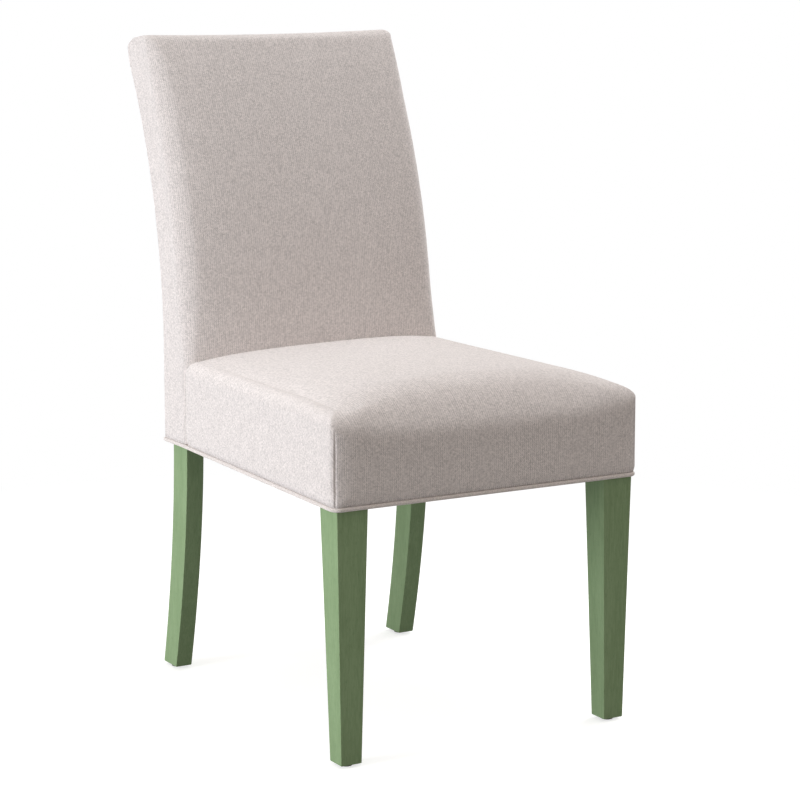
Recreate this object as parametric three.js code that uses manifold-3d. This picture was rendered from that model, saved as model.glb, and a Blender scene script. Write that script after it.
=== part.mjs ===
// A parsons dining chair. A hardwood frame with square tapered front legs and curved back posts
// carries elastic webbing, foam and wadding, covered in linen, with one welt round the lower edge.
// Millimetres, +Z up. The front faces -Y, and left is -X, as seen from the front.
import * as THREE from "three";
import { LoftGeometry } from "three/addons/geometries/LoftGeometry.js";
import { mergeVertices } from "three/addons/utils/BufferGeometryUtils.js";
import Module from "manifold-3d";

const wasm = await Module();
wasm.setup();

// Clearances
const fit = 0.3; // between any two pieces that touch
const overrun = 12; // how far a cutter runs past what it cuts

// Heights
const glideHeight = 4;
const seatShoulder = 494.5; // seat top where it rolls over into its sides
const seatBoxHeight = 136.2; // from there down to the lower edge of the welt
const seatCrown = 8.5; // rise of the seat's middle above its shoulder
const seatCrownRun = 200; // how far from the front the crown is full
const seatFrontFall = 7; // how much lower the top is at the front edge
const seatFallRun = 80; // how far from the front that fall begins
const overallHeight = 967;

// Seat plan, over the fabric
const seatFrontHalf = 246;
const seatRearHalf = 221;
const seatDepth = 519; // front face to the crease where the back starts
const seatCornerRadius = 13;
const seatSideRoll = 22; // how far in the top's side edges start to roll over
const seatFrontRoll = 28; // the same at the front
const seatRollHeight = 24;
const seatSwell = 1.5; // how far the stuffed sides stand out at mid height
const creaseRoll = 6; // how far each side turns in at the crease

// Back, over the fabric
const wingDepth = 68; // crease to the rear face, below the bend
const backThickness = 85;
const backBend = 900; // radius of the rear face above the bend
const bendDrop = 22.5; // seat shoulder down to where the bend starts
const backNarrowing = 6.5; // how much less the half width is at the top
const backFrontRadius = 27; // upright edges at the front
const backRearRadius = 12; // upright edges at the rear
const backTopRoll = 18; // top edges, front and rear
const backTopEndRoll = 6; // top edges at the two ends
const backTopRise = 15; // height of those rolls
const backTopRadius = 12; // corners of the top face, from above
const backTopDrop = 13; // how much lower the top's rear edge lies than its front edge
const backCrown = 7; // swell of the front face
const rearPadding = 10; // fabric to the posts' rear faces
const sidePadding = 9; // fabric to the posts' outer faces
const topPadding = 13; // fabric to the crest rail

// Soft layers
const cover = 1.2;
const seatWadding = 2.8;
const deckThickness = 1;
const webThickness = 1.5;
const webWidth = 50;
const webEase = 15; // length over which a strap rises or dips to cross another
const webInset = 4; // from a rail's outer face to a strap's end
const longStrapSpacing = 110;
const crossStrapSpacing = 140;
const linerThickness = 2;
const weltRadius = 3;
const weltButt = 0.6; // gap where its two ends meet at the rear
const dustThickness = 0.8;

// Wood
const railThickness = 22;
const railHeight = 66;
const legTop = 47.6; // front leg, square, at the seat
const legFoot = 32; // front leg, square, at the floor
const legFootInX = 7; // how far the foot's outer face lies inside the top's, sideways
const legFootInY = 3.5; // the same, front to rear
const postThickness = 25.5;
const postDepth = 44; // inside the back
const postLegDepth = 46.3; // rear leg just under the seat
const postFootDepth = 43;
const postSweep = 46.1; // how far the rear leg's rear face sweeps back at the floor
const tenonThickness = 9;
const tenonLength = 14;
const tenonShoulder = 9; // rail left above and below a tenon
const tenonEdge = 4; // post left outside the side rail's tenon
const crestHeight = 60;
const lowerRailHeight = 40;
const blockHeight = 40;
const blockDrop = 8; // rail's top edge to the corner block
const blockReach = 61; // corner block along the front or back rail
const blockRun = 62; // corner block along the side rail

// Fasteners
const screwRadius = 2;
const screwHeadRadius = 4.2;
const screwHeadHeight = 2.6;
const screwGrip = 17; // block left under a screw's head
const screwBite = 16; // length in the rail
const screwTip = 4;
const pocketRadius = 5.5;
const glideRadius = 9;
const glideEdge = 1;
const nailRadius = 1.2;
const nailLength = 14;

// Counts, powers and shares
const cornerSteps = 4;
const faceSteps = 6;
const sideSteps = 3;
const creaseSteps = 3;
const bendSteps = 7;
const rollSteps = 4;
const crownSteps = 3;
const roundSides = 10;
const cordSides = 8;
const legSteps = 7;
const straps = 3;
const backStraps = 4;
const sweepPower = 1.8;
const half = 1 / 2;
const quarterTurn = Math.PI * half;
const softCornerShare = 0.2; // growth of the seat's corner radius as its top rolls over
const gripShare = 0.55; // where a screw stands along its side of the block

// Planes. y = 0 is the front face of the wooden seat frame.
const padding = fit + seatWadding + fit + cover;
const softInset = cover + fit;
const weltProud = weltRadius + weltRadius + fit - padding; // how far the welt stands out
const legCornerEase = seatCornerRadius - padding + fit; // outer corner behind the fabric
const weltBottom = seatShoulder - seatBoxHeight;
const bendStart = seatShoulder - bendDrop;
const railBottom = weltBottom + weltRadius;
const railTop = railBottom + railHeight;
const coverBottom = weltBottom + weltRadius + weltRadius + fit;
const seatFront = -padding;
const seatRear = seatFront + seatDepth;
const postFront = seatRear;
const backRear = seatRear + wingDepth;
const postRear = backRear - rearPadding;
const backRearHalf = seatRearHalf;
const postOuter = backRearHalf - sidePadding;
const postInner = postOuter - postThickness;
const legOuter = seatHalfAt(legTop) - padding;
const legInner = legOuter - legTop;
const legShoulder = weltBottom - fit;
const rollStart = seatShoulder - seatRollHeight;
const wallMiddle = (coverBottom + rollStart) * half;
const topRollStart = overallHeight - backTopRise;

// The bend. Its faces are arcs about one centre behind the chair.
const bendCentre = new THREE.Vector2(backRear + backBend, bendStart);
const frontFaceRadius = backBend + backThickness;
const postRearRadius = backBend + rearPadding;
const postFrontRadius = postRearRadius + postDepth;
const railRearRadius = postFrontRadius - railThickness;
const strapRadius = postFrontRadius + fit;
const burlapRadius = strapRadius + webThickness + fit;
const foamRadius = burlapRadius + deckThickness + fit;
const linerRadius = postRearRadius - fit - linerThickness;
const crestTop = overallHeight - backTopDrop * half - topPadding;
const topAngle = Math.asin((crestTop - bendStart) / postFrontRadius);

// Deck levels
const strapMiddle = railTop + fit + webThickness * half;
const strapLift = (webThickness + fit) * half;
const deckBottom = strapMiddle + strapLift + webThickness * half + fit;
const foamBottom = deckBottom + deckThickness + fit;

// Joints and fastener levels
const tenonNear = (railThickness - tenonThickness) * half;
const tenonLow = railBottom + tenonShoulder;
const tenonHigh = railTop - tenonShoulder;
const sideTenonOuter = postOuter - tenonEdge;
const backTenonFront = postRear - railThickness + tenonNear;
const tenonAngle = tenonShoulder / postFrontRadius;
const lowerRailAngles = [0, lowerRailHeight / postFrontRadius];
const crestAngles = [topAngle - crestHeight / postFrontRadius, topAngle];
const blockTop = railTop - blockDrop;
const blockMiddle = blockTop - blockHeight * half;
const footCentres = {
  front: { x: legOuter - legFootInX - legFoot * half, y: legFootInY + legFoot * half },
  rear: {
    x: postOuter - postThickness * half,
    y: postFront + postSweep + postLegDepth - postFootDepth * half,
  },
};

// Colour, roughness and metalness of each kind of surface
const finishes = {
  stainedWood: [0x6f8c63, 0.55, 0],
  rawWood: [0xc9a877, 0.75, 0],
  linen: [0xdcd0cb, 0.95, 0],
  foam: [0xe9dfc0, 1, 0],
  wadding: [0xf3f2ee, 1, 0],
  webbing: [0x6d675c, 0.9, 0],
  burlap: [0xa88c61, 1, 0],
  card: [0xb39b78, 0.9, 0],
  cambric: [0x1c1c1e, 0.95, 0],
  steel: [0xa9adb0, 0.35, 1],
  nylon: [0x5a5550, 0.5, 0],
};

const chair = new THREE.Group();
const assembly = new THREE.Group();
chair.add(assembly);

// Adds one piece as its own named mesh.
function place(name, geometry, finish, mirrored = false) {
  const [color, roughness, metalness] = finishes[finish];
  const material = new THREE.MeshStandardMaterial({ color, roughness, metalness });
  const mesh = new THREE.Mesh(geometry, material);
  mesh.name = name;
  if (mirrored) mesh.scale.x = -1;
  assembly.add(mesh);
}

// Adds the left and right copies of a piece that is modelled on the right.
function placePair(stem, geometry, finish) {
  place(`${stem}_right`, geometry, finish);
  place(`${stem}_left`, geometry, finish, true);
}

// Turns a closed geometry into a solid that can be joined and cut.
function solidOf(geometry) {
  const bare = new THREE.BufferGeometry();
  bare.setAttribute("position", geometry.getAttribute("position"));
  bare.setIndex(geometry.getIndex());
  const merged = mergeVertices(bare);
  const mesh = new wasm.Mesh({
    numProp: 3,
    vertProperties: merged.getAttribute("position").array,
    triVerts: new Uint32Array(merged.index.array),
  });
  return new wasm.Manifold(mesh);
}

// Turns a solid back into a geometry.
function geometryOf(solid) {
  const mesh = solid.getMesh();
  const geometry = new THREE.BufferGeometry();
  geometry.setAttribute("position", new THREE.BufferAttribute(mesh.vertProperties, 3));
  geometry.setIndex(new THREE.BufferAttribute(mesh.triVerts, 1));
  return geometry;
}

// A box between two corners.
function boxBetween(x0, y0, z0, x1, y1, z1) {
  const geometry = new THREE.BoxGeometry(x1 - x0, y1 - y0, z1 - z0);
  geometry.translate((x0 + x1) * half, (y0 + y1) * half, (z0 + z1) * half);
  return solidOf(geometry);
}

// A side outline, drawn in depth and height, run across the chair from x0 to x1.
function acrossChair(shape, x0, x1, curveSegments = bendSteps) {
  const geometry = new THREE.ExtrudeGeometry(shape, {
    depth: x1 - x0,
    bevelEnabled: false,
    curveSegments,
  });
  const toSide = new THREE.Matrix4().makeBasis(
    new THREE.Vector3(0, 1, 0),
    new THREE.Vector3(0, 0, 1),
    new THREE.Vector3(1, 0, 0),
  );
  geometry.applyMatrix4(toSide);
  geometry.translate(x0, 0, 0);
  return geometry;
}

// A plan outline, drawn in x and y, run upward from z0 to z1.
function upward(shape, z0, z1, curveSegments = cornerSteps) {
  const geometry = new THREE.ExtrudeGeometry(shape, {
    depth: z1 - z0,
    bevelEnabled: false,
    curveSegments,
  });
  geometry.translate(0, 0, z0);
  return geometry;
}

// A closed shape through plain corner points.
function polygon(points) {
  return new THREE.Shape(points.map(([x, y]) => new THREE.Vector2(x, y)));
}

// Moves every point of a geometry by a rule on its x and z.
function shiftX(geometry, rule) {
  const position = geometry.getAttribute("position");
  for (let i = 0; i < position.count; i += 1) {
    position.setX(i, rule(position.getX(i), position.getZ(i)));
  }
  return geometry;
}

// Half width of the seat over the fabric at a depth y, before it turns in at the crease.
function seatHalfAt(y) {
  const taper = (seatFrontHalf - seatRearHalf) / seatDepth;
  return seatFrontHalf - taper * (y + padding);
}

// How far the seat's side has turned in at a depth y.
function creaseTurn(y) {
  const along = Math.min(Math.max(y - (seatRear - creaseRoll), 0), creaseRoll);
  return creaseRoll - Math.sqrt(creaseRoll * creaseRoll - along * along);
}

// How much the back has narrowed, per side, at a height.
function narrowingAt(z) {
  return (backNarrowing * Math.max(z - bendStart, 0)) / (overallHeight - bendStart);
}

// Depth of a face that is straight up to the bend and an arc of this radius above it.
function depthAt(radius, z) {
  const rise = Math.max(z - bendStart, 0);
  return bendCentre.x - Math.sqrt(radius * radius - rise * rise);
}

// Lean of such a face at a height, as depth gained per height.
function leanAt(radius, z) {
  const rise = Math.max(z - bendStart, 0);
  return rise / Math.sqrt(radius * radius - rise * rise);
}

// The point of an arc about the bend's centre at an angle above level.
function onBend(radius, angle) {
  const depth = bendCentre.x - radius * Math.cos(angle);
  return new THREE.Vector2(depth, bendCentre.y + radius * Math.sin(angle));
}

// Completes the right half of a plan outline, front to rear, into a ring that runs
// anticlockwise from above, with points spread over the front and rear edges.
function wholeRing(right, frontSwell = 0) {
  const left = right.map(([x, y]) => [-x, y]).reverse();
  const [frontEdge, front] = right[0];
  const [rearEdge, rear] = right[right.length - 1];
  const spread = [];
  for (let i = 1; i < faceSteps; i += 1) spread.push((i / faceSteps) * 2 - 1);
  const rearPoints = spread.map((share) => [-share * rearEdge, rear]);
  const frontPoints = spread.map((share) => {
    return [share * frontEdge, front - frontSwell * (1 - share * share)];
  });
  return [...right, ...rearPoints, ...left, ...frontPoints];
}

// Skins a stack of rings of [x, y, z] points into a closed solid.
function skin(rings) {
  const sections = rings.map((ring) => ring.map(([x, y, z]) => new THREE.Vector3(x, y, z)));
  return solidOf(new LoftGeometry(sections, { capStart: true, capEnd: true }));
}

// Rise of the seat's top at a plan point, above its shoulder, less its fall to the front.
function crownAt(x, y) {
  const across = Math.min(Math.abs(x) / (seatHalfAt(y) - seatSideRoll), 1);
  const short = 1 - THREE.MathUtils.clamp((y - seatFront - seatFrontRoll) / seatCrownRun, 0, 1);
  const fall = 1 - THREE.MathUtils.clamp((y - seatFront) / seatFallRun, 0, 1);
  return seatCrown * (1 - across * across) * (1 - short * short) - seatFrontFall * fall * fall;
}

// How far the seat's wall stands out at a height.
function swellAt(z) {
  const reach = Math.abs(z - wallMiddle) / (rollStart - wallMiddle);
  return seatSwell * Math.max(1 - reach, 0);
}

// The plan of the seat at one level, moved in from the fabric at the sides and the front.
// It runs on past the crease, and each layer is cut to its own length.
function seatPlan(sideInset, frontInset, cornerRadius) {
  const halfAt = (y) => seatHalfAt(y) - creaseTurn(y) - sideInset;
  const front = seatFront + frontInset;
  const turnStart = seatRear - creaseRoll;
  const right = [];
  for (let i = 0; i <= cornerSteps; i += 1) {
    const turn = (i / cornerSteps) * quarterTurn;
    const y = front + cornerRadius * (1 - Math.cos(turn));
    right.push([halfAt(y) - cornerRadius * (1 - Math.sin(turn)), y]);
  }
  for (let i = 1; i <= sideSteps; i += 1) {
    const y = THREE.MathUtils.lerp(front + cornerRadius, turnStart, i / sideSteps);
    right.push([halfAt(y), y]);
  }
  for (let i = 1; i <= creaseSteps; i += 1) {
    const y = turnStart + creaseRoll * Math.sin((i / creaseSteps) * quarterTurn);
    right.push([halfAt(y), y]);
  }
  right.push([halfAt(seatRear + overrun), seatRear + overrun]);
  return wholeRing(right);
}

// The seat as a closed form, moved in from the fabric's outer face by an inset,
// from a bottom level up and from the front to a rear plane.
function seatForm(inset, bottom, rear) {
  const walls = [coverBottom, wallMiddle, rollStart].filter((z) => z > bottom + fit);
  const rings = [bottom, ...walls].map((z) => {
    const wallInset = inset - swellAt(z);
    const plan = seatPlan(wallInset, wallInset, seatCornerRadius - inset);
    return plan.map(([x, y]) => [x, y, z]);
  });
  const softCorner = seatCornerRadius + seatSideRoll * softCornerShare;
  for (let i = 1; i <= rollSteps; i += 1) {
    const turn = (i / rollSteps) * quarterTurn;
    const rise = Math.sin(turn);
    const over = 1 - Math.cos(turn);
    const sideInset = inset + (seatSideRoll - inset) * over;
    const frontInset = inset + (seatFrontRoll - inset) * over;
    const cornerRadius = THREE.MathUtils.lerp(seatCornerRadius - inset, softCorner, over);
    const plan = seatPlan(sideInset, frontInset, cornerRadius);
    rings.push(plan.map(([x, y]) => {
      return [x, y, rollStart + (seatRollHeight - inset + crownAt(x, y)) * rise];
    }));
  }
  const shoulder = rings[rings.length - 1];
  const middle = (seatFront + seatRear) * half;
  for (let i = 1; i < crownSteps; i += 1) {
    const keep = 1 - i / crownSteps;
    rings.push(shoulder.map(([x, y]) => {
      const nearY = middle + (y - middle) * keep;
      return [x * keep, nearY, seatShoulder - inset + crownAt(x * keep, nearY)];
    }));
  }
  const wide = seatFrontHalf + overrun;
  const kept = boxBetween(-wide, seatFront - overrun, bottom, wide, rear, overallHeight);
  return skin(rings).intersect(kept);
}

// The plan of the back at one level, between its front and rear faces.
function backPlan(front, rear, halfWidth, frontRadius, rearRadius, frontSwell) {
  const right = [];
  for (let i = 0; i <= cornerSteps; i += 1) {
    const turn = (i / cornerSteps) * quarterTurn;
    const x = halfWidth - frontRadius * (1 - Math.sin(turn));
    right.push([x, front + frontRadius * (1 - Math.cos(turn))]);
  }
  for (let i = 0; i <= cornerSteps; i += 1) {
    const turn = (i / cornerSteps) * quarterTurn;
    const x = halfWidth - rearRadius * (1 - Math.cos(turn));
    right.push([x, rear - rearRadius * (1 - Math.sin(turn))]);
  }
  return wholeRing(right, frontSwell);
}

// The back as a closed form, moved in from the fabric's outer face by an inset.
function backForm(inset, bottom) {
  const rings = [];
  const levels = [bottom];
  for (let i = 0; i <= bendSteps; i += 1) {
    levels.push(THREE.MathUtils.lerp(bendStart, topRollStart, i / bendSteps));
  }
  const lean = leanAt(backBend + backThickness * half, topRollStart);
  const addRing = (level, turn) => {
    const over = 1 - Math.cos(turn);
    const rise = (backTopRise - inset) * Math.sin(turn);
    const up = Math.max(level - bendStart, 0) / (topRollStart - bendStart);
    const slope = (up * backTopDrop) / backThickness;
    const frontLevel = level + slope * backTopRoll;
    const rearLevel = frontLevel - slope * backThickness;
    const faceRoll = (backTopRoll - inset) * over;
    const front = depthAt(frontFaceRadius - inset, frontLevel) + lean * rise + faceRoll;
    const rear = depthAt(backBend + inset, rearLevel) + lean * rise - faceRoll;
    const endInset = inset + (backTopEndRoll - inset) * over;
    const halfWidth = backRearHalf - narrowingAt(level) - endInset;
    const frontRadius = THREE.MathUtils.lerp(backFrontRadius - inset, backTopRadius, over);
    const rearRadius = THREE.MathUtils.lerp(backRearRadius - inset, backTopRadius, over);
    const swell = backCrown * (1 - over);
    const plan = backPlan(front, rear, halfWidth, frontRadius, rearRadius, swell);
    const pivot = depthAt(frontFaceRadius, frontLevel) + lean * rise + backTopRoll;
    rings.push(plan.map(([x, y]) => [x, y, level + rise - slope * (y - pivot)]));
  };
  for (const level of levels) addRing(level, 0);
  for (let i = 1; i <= rollSteps; i += 1) addRing(topRollStart, (i / rollSteps) * quarterTurn);
  return skin(rings);
}

// A side outline of a layer that is straight from a bottom level up to the bend,
// and lies between two radii above it, up to an angle.
function bentLayer(rearRadius, frontRadius, bottom, angle) {
  const shape = new THREE.Shape();
  shape.moveTo(bendCentre.x - frontRadius, bottom);
  shape.lineTo(bendCentre.x - frontRadius, bendStart);
  shape.absarc(bendCentre.x, bendStart, frontRadius, Math.PI, Math.PI - angle, true);
  shape.absarc(bendCentre.x, bendStart, rearRadius, Math.PI - angle, Math.PI, false);
  shape.lineTo(bendCentre.x - rearRadius, bottom);
  return shape;
}

// A side outline of a layer between two radii and two angles above the bend.
function arcLayer(rearRadius, frontRadius, lowAngle, highAngle) {
  const shape = new THREE.Shape();
  const { x, y } = bendCentre;
  shape.absarc(x, y, frontRadius, Math.PI - lowAngle, Math.PI - highAngle, true);
  shape.absarc(x, y, rearRadius, Math.PI - highAngle, Math.PI - lowAngle, false);
  return shape;
}

// A block across the chair whose half width narrows as the back does.
function narrowingBlock(halfWidth, front, rear, bottom, top) {
  const rings = [bottom, bendStart, top].map((z) => {
    const x = halfWidth - narrowingAt(z);
    return [[-x, front, z], [x, front, z], [x, rear, z], [-x, rear, z]];
  });
  return skin(rings);
}

// A thin layer of the back across the chair, narrowing as the back does.
function backSheet(shape, halfWidth, curveSegments) {
  const geometry = acrossChair(shape, -halfWidth, halfWidth, curveSegments);
  return shiftX(geometry, (x, z) => x * (1 - narrowingAt(z) / halfWidth));
}

// Inner face of a side rail at a depth y.
function sideRailInner(y) {
  return seatHalfAt(y) - padding - railThickness;
}

// A round rod along +Y from a start to an end.
function rod(radius, start, end) {
  const geometry = new THREE.CylinderGeometry(radius, radius, end - start, roundSides);
  geometry.translate(0, (start + end) * half, 0);
  return geometry;
}

// Turns a piece made along +Y about the upright axis and moves it to a point.
function aim(geometry, { x, y, turn }) {
  geometry.rotateZ(turn);
  geometry.translate(x, y, blockMiddle);
  return geometry;
}

// Holes that a screw needs: in the rail, from the rail's face into the wood.
function railHole(spot) {
  return solidOf(aim(rod(screwRadius + fit, -screwBite - fit, overrun), spot));
}

// Cuts a list of solids from a solid.
function cutFrom(solid, cutters) {
  return cutters.reduce((rest, cutter) => rest.subtract(cutter), solid);
}

// The screws of one side's corner blocks. Each spot is where the screw enters its rail,
// and turn points from the rail towards the screw's head.
const along = blockReach * gripShare;
const run = blockRun * gripShare;
const screwSpots = {
  front_rail_screw: { x: legInner - along, y: railThickness, turn: 0 },
  front_side_screw: { x: sideRailInner(legTop + run), y: legTop + run, turn: quarterTurn },
  back_rail_screw: { x: postInner - along, y: postRear - railThickness, turn: Math.PI },
  rear_side_screw: { x: sideRailInner(postFront - run), y: postFront - run, turn: quarterTurn },
};
const mirrorSpot = ({ x, y, turn }) => ({ x: -x, y, turn: -turn });

// Front leg: a square taper below the seat, and a block with an eased corner behind the fabric.
function frontLeg() {
  const square = (outer, front, size, z) => {
    const inner = outer - size;
    return [[inner, front, z], [outer, front, z], [outer, front + size, z], [inner, front + size, z]];
  };
  const taper = skin([
    square(legOuter - legFootInX, legFootInY, legFoot, glideHeight),
    square(legOuter, 0, legTop, legShoulder),
  ]);
  const plan = new THREE.Shape();
  plan.moveTo(legInner, 0);
  plan.lineTo(legOuter - legCornerEase, 0);
  plan.absarc(legOuter - legCornerEase, legCornerEase, legCornerEase, -quarterTurn, 0, false);
  plan.lineTo(legOuter, legTop);
  plan.lineTo(legInner, legTop);
  const block = solidOf(upward(plan, legShoulder, railTop));
  const frontMortise = boxBetween(
    legInner - overrun, tenonNear - fit, tenonLow - fit,
    legInner + tenonLength + fit, tenonNear + tenonThickness + fit, tenonHigh + fit,
  );
  const sideMiddle = legOuter - railThickness * half;
  const sideMortise = boxBetween(
    sideMiddle - tenonThickness * half - fit, legTop - tenonLength - fit, tenonLow - fit,
    sideMiddle + tenonThickness * half + fit, legTop + overrun, tenonHigh + fit,
  );
  const nail = nailHole(footCentres.front);
  return cutFrom(taper.add(block), [frontMortise, sideMortise, nail]);
}

// Back post: a sabre leg, a joint block at the seat and a bent upright, cut from one board.
function backPost() {
  const outline = new THREE.Shape();
  const sweepAt = (share, sweep) => sweep * (1 - share) ** sweepPower;
  const frontSweep = postSweep + postLegDepth - postFootDepth;
  const levelAt = (share) => THREE.MathUtils.lerp(glideHeight, railBottom, share);
  outline.moveTo(postFront + frontSweep, glideHeight);
  for (let i = 1; i <= legSteps; i += 1) {
    outline.lineTo(postFront + sweepAt(i / legSteps, frontSweep), levelAt(i / legSteps));
  }
  outline.lineTo(postFront, railTop);
  outline.lineTo(postRear - postDepth, bendStart);
  outline.absarc(bendCentre.x, bendStart, postFrontRadius, Math.PI, Math.PI - topAngle, true);
  outline.absarc(bendCentre.x, bendStart, postRearRadius, Math.PI - topAngle, Math.PI, false);
  outline.lineTo(postRear, railBottom);
  for (let i = legSteps; i >= 0; i -= 1) {
    const y = postFront + postLegDepth + sweepAt(i / legSteps, postSweep);
    outline.lineTo(y, levelAt(i / legSteps));
  }
  const board = solidOf(acrossChair(outline, postInner, postOuter));
  const taperBox = narrowingBlock(postOuter, -overrun, bendCentre.x, 0, overallHeight);
  const sideMortise = boxBetween(
    sideTenonOuter - tenonThickness - fit, postFront - overrun, tenonLow - fit,
    sideTenonOuter + fit, postFront + tenonLength + fit, tenonHigh + fit,
  );
  const reach = postInner + tenonLength + fit;
  const backMortise = boxBetween(
    postInner - overrun, backTenonFront - fit, tenonLow - fit,
    reach, backTenonFront + tenonThickness + fit, tenonHigh + fit,
  );
  const crossMortises = [lowerRailAngles, crestAngles].map(([low, high]) => {
    const spare = fit / railRearRadius;
    const inner = railRearRadius + tenonNear - fit;
    const outer = railRearRadius + tenonNear + tenonThickness + fit;
    const shape = arcLayer(inner, outer, low + tenonAngle - spare, high - tenonAngle + spare);
    return solidOf(acrossChair(shape, postInner - overrun, reach, 1));
  });
  const nail = nailHole(footCentres.rear);
  const cutters = [sideMortise, backMortise, ...crossMortises, nail];
  return cutFrom(board.intersect(taperBox), cutters);
}

// The hole for a glide's nail, up from a foot.
function nailHole({ x, y }) {
  const geometry = rod(nailRadius + fit, -overrun, nailLength + fit);
  geometry.rotateX(quarterTurn);
  geometry.translate(x, y, glideHeight);
  return solidOf(geometry);
}

// A glide: a domed button with a nail, turned about its own axis.
function glide() {
  const top = glideHeight - fit;
  const profile = [
    [0, 0],
    [glideRadius - glideEdge, 0],
    [glideRadius, glideEdge],
    [glideRadius, top - glideEdge],
    [glideRadius - glideEdge, top],
    [nailRadius, top],
    [nailRadius, top + nailLength - nailRadius],
    [0, top + nailLength],
  ];
  const points = profile.map(([r, z]) => new THREE.Vector2(r, z));
  const geometry = new THREE.LatheGeometry(points, roundSides);
  geometry.rotateX(quarterTurn);
  return geometry;
}

// A pan head screw along +Y, measured from the rail's face: the tip is behind it.
function screw() {
  const head = screwGrip - screwHeadHeight;
  const profile = [
    [0, -screwBite],
    [screwRadius, screwTip - screwBite],
    [screwRadius, head],
    [screwHeadRadius, head],
    [screwHeadRadius, screwGrip],
    [0, screwGrip],
  ];
  const points = profile.map(([r, y]) => new THREE.Vector2(r, y));
  return new THREE.LatheGeometry(points, roundSides);
}

// A corner block from its plan, with a hole and a sunk pocket for each screw.
function cornerBlock(plan, spots) {
  const block = solidOf(upward(polygon(plan), blockTop - blockHeight, blockTop));
  const head = screwGrip - screwHeadHeight - fit;
  const cutters = spots.flatMap((spot) => [
    solidOf(aim(rod(screwRadius + fit, -overrun, blockReach), spot)),
    solidOf(aim(rod(pocketRadius, head, blockReach), spot)),
  ]);
  return cutFrom(block, cutters);
}

// A rail across the chair between the legs or posts, with a tenon at each end.
function crossRail(reach, front, tenonFront, spots) {
  const board = boxBetween(-reach, front, railBottom, reach, front + railThickness, railTop);
  const end = reach + fit + tenonLength;
  const tenons = boxBetween(-end, tenonFront, tenonLow, end, tenonFront + tenonThickness, tenonHigh);
  return cutFrom(board.add(tenons), [...spots, ...spots.map(mirrorSpot)].map(railHole));
}

// A curved cross rail of the back, with a tenon at each end.
function bentRail([low, high]) {
  const reach = postInner - fit;
  const board = arcLayer(railRearRadius, postFrontRadius, low, high);
  const near = railRearRadius + tenonNear;
  const tenon = arcLayer(near, near + tenonThickness, low + tenonAngle, high - tenonAngle);
  const end = postInner + tenonLength;
  const tenons = solidOf(acrossChair(tenon, -end, end, 1));
  return solidOf(acrossChair(board, -reach, reach, 1)).add(tenons);
}

// The right side rail follows the seat's taper, and its rear corner is eased for the fabric.
function sideRail() {
  const front = legTop + fit;
  const rear = postFront - fit;
  const outer = (y) => seatHalfAt(y) - padding;
  const easeStart = seatRear - creaseRoll;
  const plan = polygon([
    [sideRailInner(front), front],
    [outer(front), front],
    [outer(easeStart), easeStart],
    [outer(rear) - creaseRoll, rear],
    [sideRailInner(rear), rear],
  ]);
  const middle = legOuter - railThickness * half;
  const frontTenon = boxBetween(
    middle - tenonThickness * half, legTop - tenonLength, tenonLow,
    middle + tenonThickness * half, legTop + overrun, tenonHigh,
  );
  const rearTenon = boxBetween(
    sideTenonOuter - tenonThickness, postFront - overrun, tenonLow,
    sideTenonOuter, postFront + tenonLength, tenonHigh,
  );
  const board = solidOf(upward(plan, railBottom, railTop)).add(frontTenon).add(rearTenon);
  return cutFrom(board, [screwSpots.front_side_screw, screwSpots.rear_side_screw].map(railHole));
}

// The middle line of a strap that rises over or dips under the straps it crosses.
// Lifts alternate along the strap, and first is the sign of the first one.
function wovenProfile(start, end, crossings, first) {
  const line = [[start, 0]];
  crossings.forEach((at, index) => {
    const lift = index % 2 === 0 ? first * strapLift : -first * strapLift;
    const flat = webWidth * half + fit;
    line.push([at - flat - webEase, 0], [at - flat, lift], [at + flat, lift], [at + flat + webEase, 0]);
  });
  line.push([end, 0]);
  const thick = webThickness * half;
  const upper = line.map(([s, lift]) => [s, strapMiddle + lift + thick]);
  const lower = line.map(([s, lift]) => [s, strapMiddle + lift - thick]).reverse();
  return polygon([...upper, ...lower]);
}

// Places for a number of straps, evenly spaced about a middle.
function spaced(middle, spacing) {
  return Array.from({ length: straps }, (_, i) => middle + (i - (straps - 1) * half) * spacing);
}

// Seat webbing, woven front to back and side to side, fixed on top of the rails.
function addSeatWebbing() {
  const longAt = spaced(0, longStrapSpacing);
  const crossAt = spaced(postRear * half, crossStrapSpacing);
  longAt.forEach((x, index) => {
    const first = index % 2 === 0 ? 1 : -1;
    const profile = wovenProfile(webInset, postRear - webInset, crossAt, first);
    const strap = acrossChair(profile, x - webWidth * half, x + webWidth * half);
    place(`seat_web_long_${index + 1}`, strap, "webbing");
  });
  crossAt.forEach((y, index) => {
    const first = index % 2 === 0 ? -1 : 1;
    const reach = seatHalfAt(y) - padding - webInset;
    const profile = wovenProfile(-reach, reach, longAt, first);
    const strap = acrossChair(profile, 0, webWidth);
    strap.rotateZ(-quarterTurn);
    strap.translate(0, y + webWidth * half, 0);
    place(`seat_web_cross_${index + 1}`, strap, "webbing");
  });
}

// Burlap deck over the webbing, inside the fabric and in front of the posts.
function addDeck() {
  const edge = padding + webInset;
  const front = seatFront + edge;
  const rear = postFront - fit;
  const plan = polygon([
    [seatHalfAt(front) - edge, front],
    [seatHalfAt(rear) - edge, rear],
    [edge - seatHalfAt(rear), rear],
    [edge - seatHalfAt(front), front],
  ]);
  place("seat_deck_cloth", upward(plan, deckBottom, deckBottom + deckThickness), "burlap");
}

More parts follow.
